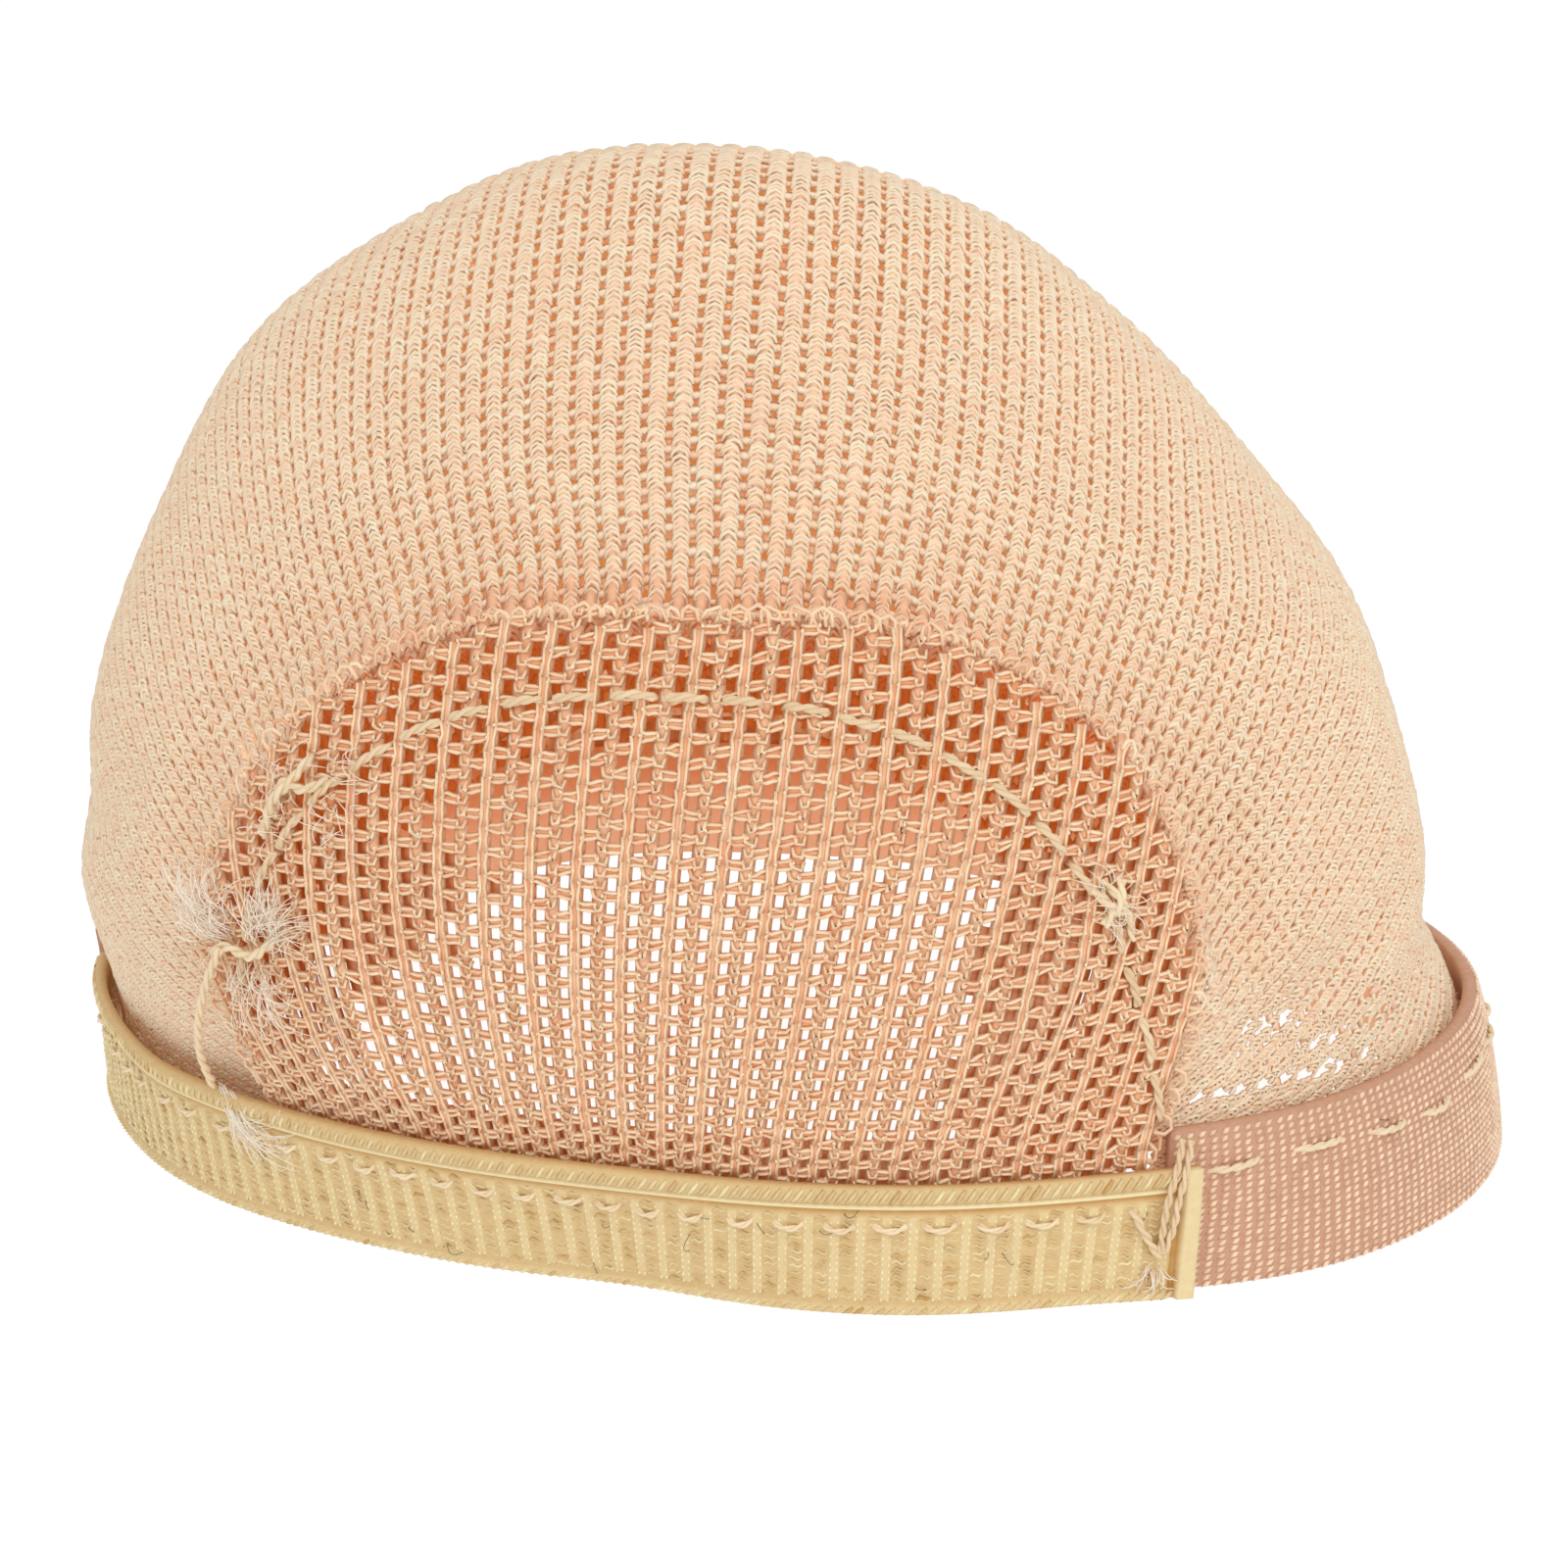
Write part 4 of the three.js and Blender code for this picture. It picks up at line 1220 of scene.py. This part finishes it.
# %% Form of the elastic
GROUND_THICK, RIB_THICK, STRIP_THICK, GROOVE_THICK = 0.50, 0.06, 0.72, 0.22
# The groove beside the sealed strip is given a lower tone as painted shade.
GROUND_TONE, RIB_TONE, STRIP_TONE, GROOVE_SHADE_TONE, ELASTIC_INNER_TONE = 0.42, 0.16, 0.66, 0.3, 0.35
UPPER_EDGE, UPPER_EDGE_TONE, LOWER_EDGE, LOWER_EDGE_TONE = 0.875, 0.02, 0.08, 0.10
ELASTIC_SHARES = np.concatenate([
    [0, 0.015, 0.035, 0.055, 0.075, 0.088, 0.10, 0.115], np.linspace(0.14, 0.77, 5),
    [0.79, 0.808, 0.822, 0.836, 0.845, 0.857, 0.869, 0.878], np.linspace(0.89, 1, 8)])
# Points of the profile at which the plain inner face has a corner, from the top down.
ELASTIC_INNER_POINTS = [-1, 18, 10, 0]


def elastic_thickness(along, share):
    """Thickness of the elastic: a ground, two edge cords, a groove, a thin line above it, and the ribs."""
    woven = woven_part(along, share, GROUND_THICK, RIB_THICK, CORD_THICKNESS)
    return with_end(along, woven, STRIP_THICK, GROOVE_THICK)


def elastic_tone(along, share):
    """Tone of the elastic: grey-cream ribs on a tan ground, golden cords, a pale line, and grooves deepened
    as painted shade.
    """
    woven = woven_part(along, share, GROUND_TONE, RIB_TONE, CORD_TONE)
    woven = woven + UPPER_EDGE_TONE * (share > UPPER_EDGE) + LOWER_EDGE_TONE * (share < LOWER_EDGE)
    return np.clip(with_end(along, woven, STRIP_TONE, GROOVE_SHADE_TONE), 0, 1)


face_azimuth = np.broadcast_to(elastic_azimuth[:, None], (ELASTIC_COLUMNS, len(ELASTIC_SHARES)))
face_height = np.broadcast_to(ELASTIC_SHARES * ELASTIC_HEIGHT, face_azimuth.shape)
face_point, _, _, face_normal = surface_frame(elastic_surface, face_azimuth, face_height, BAND_STEP)
face_thick = elastic_thickness(elastic_along[:, None], ELASTIC_SHARES[None])
face_outer = face_point + face_normal * face_thick[..., None]
elastic_section = np.concatenate([face_outer, face_point[:, ELASTIC_INNER_POINTS]], axis=1)
inner_tones = np.full((ELASTIC_COLUMNS, len(ELASTIC_INNER_POINTS)), ELASTIC_INNER_TONE)
outer_tones = elastic_tone(elastic_along[:, None], ELASTIC_SHARES[None])
elastic_body = band_loop(elastic_section, np.concatenate([outer_tones, inner_tones], axis=1))
print("elastic: profile of", elastic_section.shape[1], "points")

# %% Weave of the elastic
RIB_GRAIN_PITCH, RIB_HALF_WIDTH, RIB_MARGIN = 0.38, 0.16, 0.02
RIB_GRAIN_LENGTHS, RIB_GRAIN_LIFT, RIB_GRAIN_LOOSE = (0.19, 0.085, 0.08), 0.55, 0.004
RIB_GRAIN_TONE, RIB_GRAIN_TONE_SPREAD = 0.92, 0.12
LADDER_PITCH, LADDER_SIZES, LADDER_LOOSE = 0.40, (0.13, 0.07), 0.03
LADDER_TONE, LADDER_TONE_SPREAD = 0.55, 0.14
LADDER_SHAPE = np.array([(-0.42, -0.08, 0.44), (-0.12, 0.10, 0.52), (0.14, -0.04, 0.52), (0.42, 0.10, 0.44)])


def on_elastic(along, share):
    """Surface frames of the elastic at lengths along it and shares of its height."""
    azimuth = np.interp(along, elastic_along, elastic_azimuth)
    return surface_frame(elastic_surface, azimuth, share * ELASTIC_HEIGHT, BAND_STEP)


def all_pairs(first, second):
    """Every value of the first array with every value of the second, as two flat arrays."""
    return (grid.ravel() for grid in np.meshgrid(first, second, indexing="ij"))


rib_count = int(GROOVE_START / RIB_PITCH)
rib_borders = np.arange(1, rib_count + 1)[:, None] * RIB_PITCH + np.array([-1, 1])[None] * RIB_HALF_WIDTH
grain_rows = np.arange(RIB_FOOT + RIB_MARGIN, RIB_HEAD - RIB_MARGIN / 2, RIB_GRAIN_PITCH / ELASTIC_HEIGHT)
grain_along, grain_share = all_pairs(rib_borders.ravel(), grain_rows)
grain_share = grain_share + dice.normal(0, RIB_GRAIN_LOOSE, grain_share.shape)
grain_point, grain_across, grain_up, grain_normal = on_elastic(grain_along, grain_share)
grain_point = grain_point + grain_normal * RIB_GRAIN_LIFT
rib_grains = grains(grain_point, grain_up, grain_across, grain_normal, RIB_GRAIN_LENGTHS,
                    yarn_tones(RIB_GRAIN_TONE, RIB_GRAIN_TONE_SPREAD, len(grain_point)))
ladder_rows = np.arange(RIB_FOOT + RIB_MARGIN, RIB_HEAD - RIB_MARGIN, LADDER_PITCH / ELASTIC_HEIGHT)
ladder_along, ladder_share = all_pairs((np.arange(0, rib_count) + 0.5) * RIB_PITCH, ladder_rows)
ladder_form = LADDER_SHAPE + dice.normal(0, LADDER_LOOSE, (len(ladder_along), *LADDER_SHAPE.shape))
ladders = strands(*on_elastic(ladder_along, ladder_share), ladder_form, LADDER_SIZES, FINE_SIDES,
                  yarn_tones(LADDER_TONE, LADDER_TONE_SPREAD, len(ladder_along)))
print("elastic:", len(grain_point), "grains and", len(ladder_along), "ladder strands")

# %% Wraps of the two edge cords
WRAP_START, WRAP_PITCH, WRAP_REACH, WRAP_DROP = 0.4, 0.52, 0.26, 0.12
WRAP_SIZES, WRAP_TONE, WRAP_TONE_SPREAD = (0.15, 0.09), 0.66, 0.16
# Columns: share of the height, half length upwards, lift.
WRAPPED_CORDS = [(0.94, 0.34, 0.74), (0.04, 0.20, 0.73)]

wrap_along = np.arange(WRAP_START, STRIP_START, WRAP_PITCH)
wraps = []
for share, reach_up, lift in WRAPPED_CORDS:
    wrap_shape = np.array([(-WRAP_REACH, -reach_up, lift - WRAP_DROP), (0.0, 0.0, lift),
                           (WRAP_REACH, reach_up, lift - WRAP_DROP)])
    wrap_places = on_elastic(wrap_along, np.full_like(wrap_along, share))
    wraps.append(strands(*wrap_places, wrap_shape, WRAP_SIZES, FINE_SIDES,
                         yarn_tones(WRAP_TONE, WRAP_TONE_SPREAD, len(wrap_along))))
elastic_parts = [elastic_body, rib_grains, ladders] + wraps
make_piece("elastic_weave", elastic_parts, "elastic_yarn", "elastic_band")

# %% [markdown]
# ## The tape
# A plain-woven tape shows as rows of small slanted grains, where the weft passes over the warp. The grains'
# pale tone is a painted highlight. The band itself is a thin closed profile, and some five thousand grains
# lie on it in upright columns.

# %% Form of the tape
TAPE_INNER, TAPE_GROUND, TAPE_COLUMNS = 0.3, 0.74, 300
TAPE_OUTER_TONE, TAPE_INNER_TONE = 0.30, 0.34
TAPE_SHARES = np.concatenate([[0, 0.015], np.linspace(0.05, 0.95, 8), [0.985, 1]])
TAPE_THICKNESSES = TAPE_GROUND * np.concatenate([[0.5, 0.85], np.ones(8), [0.85, 0.5]])
TAPE_INNER_POINTS = [-1, 6, 0]


def tape_surface(azimuth, height):
    """Inner face of the tape."""
    return band_point(azimuth, height, TAPE_INNER)


tape_azimuth = np.linspace(TAPE_FROM, TAPE_TO, TAPE_COLUMNS)
side_azimuth = np.broadcast_to(tape_azimuth[:, None], (TAPE_COLUMNS, len(TAPE_SHARES)))
side_height = np.broadcast_to(TAPE_SHARES * TAPE_HEIGHT, side_azimuth.shape)
side_point, _, _, side_normal = surface_frame(tape_surface, side_azimuth, side_height, BAND_STEP)
side_outer = side_point + side_normal * TAPE_THICKNESSES[None, :, None]
tape_section = np.concatenate([side_outer, side_point[:, TAPE_INNER_POINTS]], axis=1)
tape_tones = np.repeat([TAPE_OUTER_TONE, TAPE_INNER_TONE], [len(TAPE_SHARES), len(TAPE_INNER_POINTS)])
tape_body = band_loop(tape_section, tape_tones)
print("tape: profile of", tape_section.shape[1], "points")

# %% Weave of the tape
WEAVE_COLUMN, WEAVE_ROW, WEAVE_LOOSE = 0.66, 0.36, 0.03
WEAVE_MARGIN, WEAVE_TOP_MARGIN, WEAVE_END_MARGIN = 0.3, 0.2, 0.5
WEAVE_SLANT, WEAVE_LENGTHS, WEAVE_HIGHLIGHT_TONE, WEAVE_HIGHLIGHT_SPREAD = np.radians(58), (0.34, 0.15, 0.15), 0.86, 0.10
TAPE_MIDDLE = 4.0

tape_along = arc_length(tape_surface(tape_azimuth, np.full(TAPE_COLUMNS, TAPE_MIDDLE)))
weave_rows = np.arange(WEAVE_MARGIN, TAPE_HEIGHT - WEAVE_TOP_MARGIN, WEAVE_ROW)
weave_columns = np.arange(WEAVE_MARGIN, tape_along[-1] - WEAVE_END_MARGIN, WEAVE_COLUMN)
weave_along, weave_height = all_pairs(weave_columns, weave_rows)
weave_along = weave_along + dice.normal(0, WEAVE_LOOSE, weave_along.shape)
weave_azimuth = np.interp(weave_along, tape_along, tape_azimuth)
weave_point, weave_across, weave_up, weave_normal = surface_frame(
    tape_surface, weave_azimuth, weave_height, BAND_STEP)
weave_point = weave_point + weave_normal * TAPE_GROUND
weave_long = weave_up * np.cos(WEAVE_SLANT) + weave_across * np.sin(WEAVE_SLANT)
weave_wide = np.cross(weave_long, weave_normal)
# The grains' pale tone is a painted highlight.
weave_grains = grains(weave_point, weave_long, weave_wide, weave_normal, WEAVE_LENGTHS,
                      yarn_tones(WEAVE_HIGHLIGHT_TONE, WEAVE_HIGHLIGHT_SPREAD, len(weave_point)))
make_piece("tape_weave", [tape_body, weave_grains], "tape_yarn", "front_tape")

# %% [markdown]
# ## Sewing threads
# The cap is sewn with a cream two-ply thread: a running stitch along the panel, one along the elastic and a
# longer one along the tape, with loose ends where the sewing began and ended. A thread is two thin strands
# twisted round a middle line. The lines are formulas on the same surfaces, so the threads lie where they
# hold.

# %% Thread and stitch
PLY_TURNS_PER_MM, PLY_APART, PLY_TONE_SPREAD = 0.6, 0.8, 0.06
STITCH_POINTS, STITCH_FLATNESS, STITCH_DIP = 11, 0.3, 0.3
ROW_RADIUS, ROW_START, ROW_LOOSE, ROW_SAG_LOOSE = 34, 0.2, 0.12, 0.07
STITCH_SHORTEST, STITCH_LONGEST = 0.85, 1.12


def twisted(middle, normal, half, tone):
    """Two strands a half turn apart, wound round many middle lines."""
    along = unit(np.gradient(middle, axis=1))
    aside = unit(np.cross(along, normal))
    length = arc_length(middle)
    parts = []
    for phase in (0.0, np.pi):
        angle = 2 * np.pi * PLY_TURNS_PER_MM * length + phase
        ply = middle + aside * (np.cos(angle) * half * PLY_APART)[..., None]
        ply = ply + normal * (np.sin(angle) * half * PLY_APART)[..., None]
        parts.append(tubes(ply, normal, half, half, ROUND_SIDES, yarn_tones(tone, PLY_TONE_SPREAD, len(ply))))
    return parts


def stitches(surface, azimuth, height, lift, half, tone):
    """Two-ply stitches through rows of (start, middle, end) places on a surface.

    Each stitch follows a parabola through its three places. Its height over the surface is a low arc that
    dips into the cloth at both ends.
    """
    t = np.linspace(0, 1, STITCH_POINTS)[None]
    weights = np.stack([(1 - t) * (1 - 2 * t), 4 * t * (1 - t), t * (2 * t - 1)], axis=-1)
    path_azimuth = (weights * azimuth[:, None]).sum(-1)
    path_height = (weights * height[:, None]).sum(-1)
    point, _, _, normal = surface_frame(surface, path_azimuth, path_height, BAND_STEP)
    bulge = np.sin(np.pi * t) ** STITCH_FLATNESS
    return twisted(point + normal * (lift * bulge - STITCH_DIP * (1 - bulge))[..., None], normal, half, tone)


def stitch_row(azimuth, height, length, gap, sag):
    """Cuts a line of (azimuth, height) places into stitches of a length with gaps, by arc length."""
    along = arc_length(np.stack([np.radians(azimuth) * ROW_RADIUS, height], axis=-1))
    starts = np.arange(ROW_START, along[-1] - length, length + gap)
    starts = starts + dice.normal(0, ROW_LOOSE, len(starts))
    lengths = length * dice.uniform(STITCH_SHORTEST, STITCH_LONGEST, (len(starts), 1))
    places = starts[:, None] + np.array([0, 0.5, 1])[None] * lengths
    bend = np.array([0, 1, 0])[None] * (sag + dice.normal(0, ROW_SAG_LOOSE, (len(starts), 1)))
    return np.interp(places, along, azimuth), np.interp(places, along, height) - bend


print("two plies,", PLY_TURNS_PER_MM, "turns per mm")

# %% Running stitches
LINE_SAMPLES = 400
SEAM_MIDDLE, SEAM_HALF_SPAN, SEAM_TOP, SEAM_POWER = -10.0, 44.0, 31.3, 2.6
SEAM_TURN_FROM, SEAM_TURN_TO = -70, 82
ELASTIC_LINE_FROM, ELASTIC_LINE_TO, ELASTIC_LINE_HEIGHT = ELASTIC_FROM + 2, ELASTIC_TO - 4.5, 5.1
TAPE_LINE_FROM, TAPE_LINE_TO, TAPE_LINE_HEIGHT = TAPE_FROM + 2.2, TAPE_TO - 1.8, 6.4
TAPE_LINE_SWAY, TAPE_LINE_WAVES = 0.25, 40

line = np.linspace(0, 1, LINE_SAMPLES)
seam_turn = np.radians(np.linspace(SEAM_TURN_FROM, SEAM_TURN_TO, LINE_SAMPLES))
seam_side = np.sign(seam_turn) * np.abs(np.sin(seam_turn)) ** (2 / SEAM_POWER)
seam_height = SEAM_TOP * np.cos(seam_turn) ** (2 / SEAM_POWER)
elastic_line = np.linspace(ELASTIC_LINE_FROM, ELASTIC_LINE_TO, LINE_SAMPLES)
elastic_line_height = np.full(LINE_SAMPLES, ELASTIC_LINE_HEIGHT)
tape_line = np.linspace(TAPE_LINE_FROM, TAPE_LINE_TO, LINE_SAMPLES)
tape_line_height = TAPE_LINE_HEIGHT + TAPE_LINE_SWAY * np.sin(line * TAPE_LINE_WAVES)
# Columns: surface, azimuths, heights, stitch length, gap, sag, lift, half width, tone.
STITCH_ROWS = [
    (panel_point, SEAM_MIDDLE + SEAM_HALF_SPAN * seam_side, seam_height, 2.5, 0.5, 0.0, 0.36, 0.14, 0.6),
    (elastic_surface, elastic_line, elastic_line_height, 2.0, 0.6, 0.28, 0.74, 0.10, 0.85),
    (tape_surface, tape_line, tape_line_height, 3.9, 0.7, 0.1, 0.98, 0.13, 0.75),
]
stitch_parts = []
for surface, azimuth, height, length, gap, sag, lift, half, tone in STITCH_ROWS:
    places = stitch_row(azimuth, height, length, gap, sag)
    stitch_parts += stitches(surface, *places, lift, half, tone)
make_piece("sewing_stitches", stitch_parts, "sewing_thread")

# %% [markdown]
# ## Loose ends and fibres
# Where the sewing stops the thread was left long, knotted and fluffed out: at the left of the panel, at its
# right corner and over the cut end of the elastic. A loose thread is the same twisted pair along a smooth
# line through a few places. Fibres are single fine arcs that start somewhere in a small area and curl by
# chance.

# %% Loose threads
THREAD_POINTS, SMOOTHING = 40, 7
# Columns: surface, azimuths, heights, lifts, half width, tone. First the threads over the cut end of the
# elastic, then those at the left of the panel, then the knot at its right corner.
LOOSE_THREADS = [
    (elastic_surface, [34.2, 33.5, 32.7, 32.5, 32.6], [8.6, 7.3, 5.9, 4.3, 2.6],
     [0.3, 0.7, 1.0, 0.95, 0.8], 0.12, 0.55),
    (elastic_surface, [34.9, 34.2, 33.5, 33.4, 32.8], [8.5, 7.1, 5.6, 4.2, 2.6],
     [0.3, 0.7, 1.0, 0.95, 0.8], 0.12, 0.55),
    (elastic_surface, [30.0, 31.0, 32.6], [5.2, 4.1, 2.5], [0.4, 1.0, 0.8], 0.13, 0.55),
    (elastic_surface, [-51.5, -53.5, -55.2, -57.0, -58.4], [16.6, 14.6, 12.4, 10.2, 7.8],
     [0.4, 0.8, 1.2, 1.2, 0.9], 0.15, 0.8),
    (panel_point, [-54.5, -52.0, -49.0, -46.5], [15.6, 16.6, 16.2, 17.4], [0.3, 0.8, 0.8, 0.3], 0.16, 0.8),
    (panel_point, [-47.5, -46.0, -44.5, -43.0], [22.5, 24.6, 25.4, 27.0], [0.3, 0.8, 0.8, 0.3], 0.17, 0.75),
    (panel_point, [-46.5, -45.5, -43.0, -41.0], [23.5, 25.6, 25.2, 26.0], [0.2, 0.7, 0.8, 0.3], 0.15, 0.75),
    (panel_point, [26.8, 28.5, 30.0], [21.6, 20.2, 19.9], [0.2, 0.6, 0.3], 0.16, 0.85),
    (panel_point, [27.6, 29.0, 29.6], [19.4, 20.6, 21.8], [0.2, 0.75, 0.3], 0.16, 0.85),
    (panel_point, [28.0, 29.2, 30.6], [21.9, 20.5, 18.6], [0.2, 0.7, 0.2], 0.13, 0.8),
]


def smooth_line(values):
    """A smooth curve through a few values: straight steps, rounded by a running mean."""
    steps = np.interp(np.linspace(0, len(values) - 1, THREAD_POINTS), np.arange(len(values)), values)
    padded = np.pad(steps, SMOOTHING // 2, mode="edge")
    return np.convolve(padded, np.ones(SMOOTHING) / SMOOTHING, mode="valid")


def loose_thread(surface, azimuth, height, lift, half, tone):
    """A twisted thread along a smooth line through places on a surface, lifted off it."""
    line_azimuth, line_height, line_lift = (smooth_line(values)[None] for values in (azimuth, height, lift))
    point, _, _, normal = surface_frame(surface, line_azimuth, line_height, BAND_STEP)
    return twisted(point + normal * line_lift[..., None], normal, half, tone)


threads = [ply for thread_row in LOOSE_THREADS for ply in loose_thread(*thread_row)]
make_piece("loose_threads", threads, "sewing_thread")

# %% Fibres
FIBRE_POINTS, FIBRE_CURL, FIBRE_LIFT, FIBRE_ARC_LEAST, FIBRE_ARC_MOST = 7, 1.0, 0.3, 0.2, 0.9
# Columns: surface, count, azimuth, height, heading and length as (middle, spread), half width, tone.
FLUFF = [
    (panel_point, 100, (-53.0, 2.0), (17.0, 1.0), (122, 26), (2.8, 1.2), 0.026, 0.95),
    (panel_point, 100, (-48.0, 2.0), (17.0, 1.0), (64, 24), (2.8, 1.2), 0.026, 0.95),
    (panel_point, 50, (-50.0, 2.5), (15.5, 1.0), (-85, 25), (3.2, 1.2), 0.024, 0.95),
    (elastic_surface, 60, (-59.2, 1.0), (7.6, 0.6), (-62, 10), (5.4, 1.6), 0.026, 1.0),
    (elastic_surface, 22, (32.4, 0.5), (2.3, 0.3), (-95, 38), (1.9, 0.5), 0.04, 0.8),
    (panel_point, 30, (29.0, 1.4), (20.3, 1.2), (40, 160), (1.6, 0.8), 0.035, 0.8),
    (panel_point, 60, (-43.0, 5.0), (24.5, 2.4), (60, 120), (1.4, 0.7), 0.03, 0.85),
]
STRAY = [
    (elastic_surface, 16, (-8.0, 40.0), (3.4, 2.4), (0, 180), (1.2, 0.5), 0.022, 0.4),
    (tape_surface, 4, (48.0, 12.0), (7.0, 3.0), (0, 180), (1.0, 0.4), 0.022, 0.4),
]


def fibres(surface, count, azimuth, height, heading, length, half, tone):
    """Fine arcs that start within the spreads, keep near a heading and curl by chance.

    A heading of 0 runs along the rim and 90 runs upwards.
    """
    start_azimuth, start_height, turn, reach = (
        middle + spread * dice.uniform(-1, 1, (count, 1))
        for middle, spread in (azimuth, height, heading, length))
    t = np.linspace(0, 1, FIBRE_POINTS)[None]
    angle = np.radians(turn) + dice.normal(0, FIBRE_CURL, (count, 1)) * t
    step = reach / FIBRE_POINTS
    arc = dice.uniform(FIBRE_ARC_LEAST, FIBRE_ARC_MOST, (count, 1)) * np.sin(np.pi * t)
    form = np.stack([np.cumsum(np.cos(angle), axis=1) * step, np.cumsum(np.sin(angle), axis=1) * step,
                     FIBRE_LIFT + arc], axis=-1)
    spot = surface_frame(surface, start_azimuth[:, 0], start_height[:, 0], BAND_STEP)
    return strands(*spot, form, (half, half), FINE_SIDES, np.full(count, tone))


make_piece("thread_fluff", [fibres(*fibre_row) for fibre_row in FLUFF], "frayed_thread")
make_piece("stray_fibres", [fibres(*fibre_row) for fibre_row in STRAY], "stray_fibre")

# %% [markdown]
# ## Sizes and end
# Last comes the number of triangles that the strands add.

# %% Triangles added
print("added triangles:", sum(ADDED_TRIANGLES.values()))
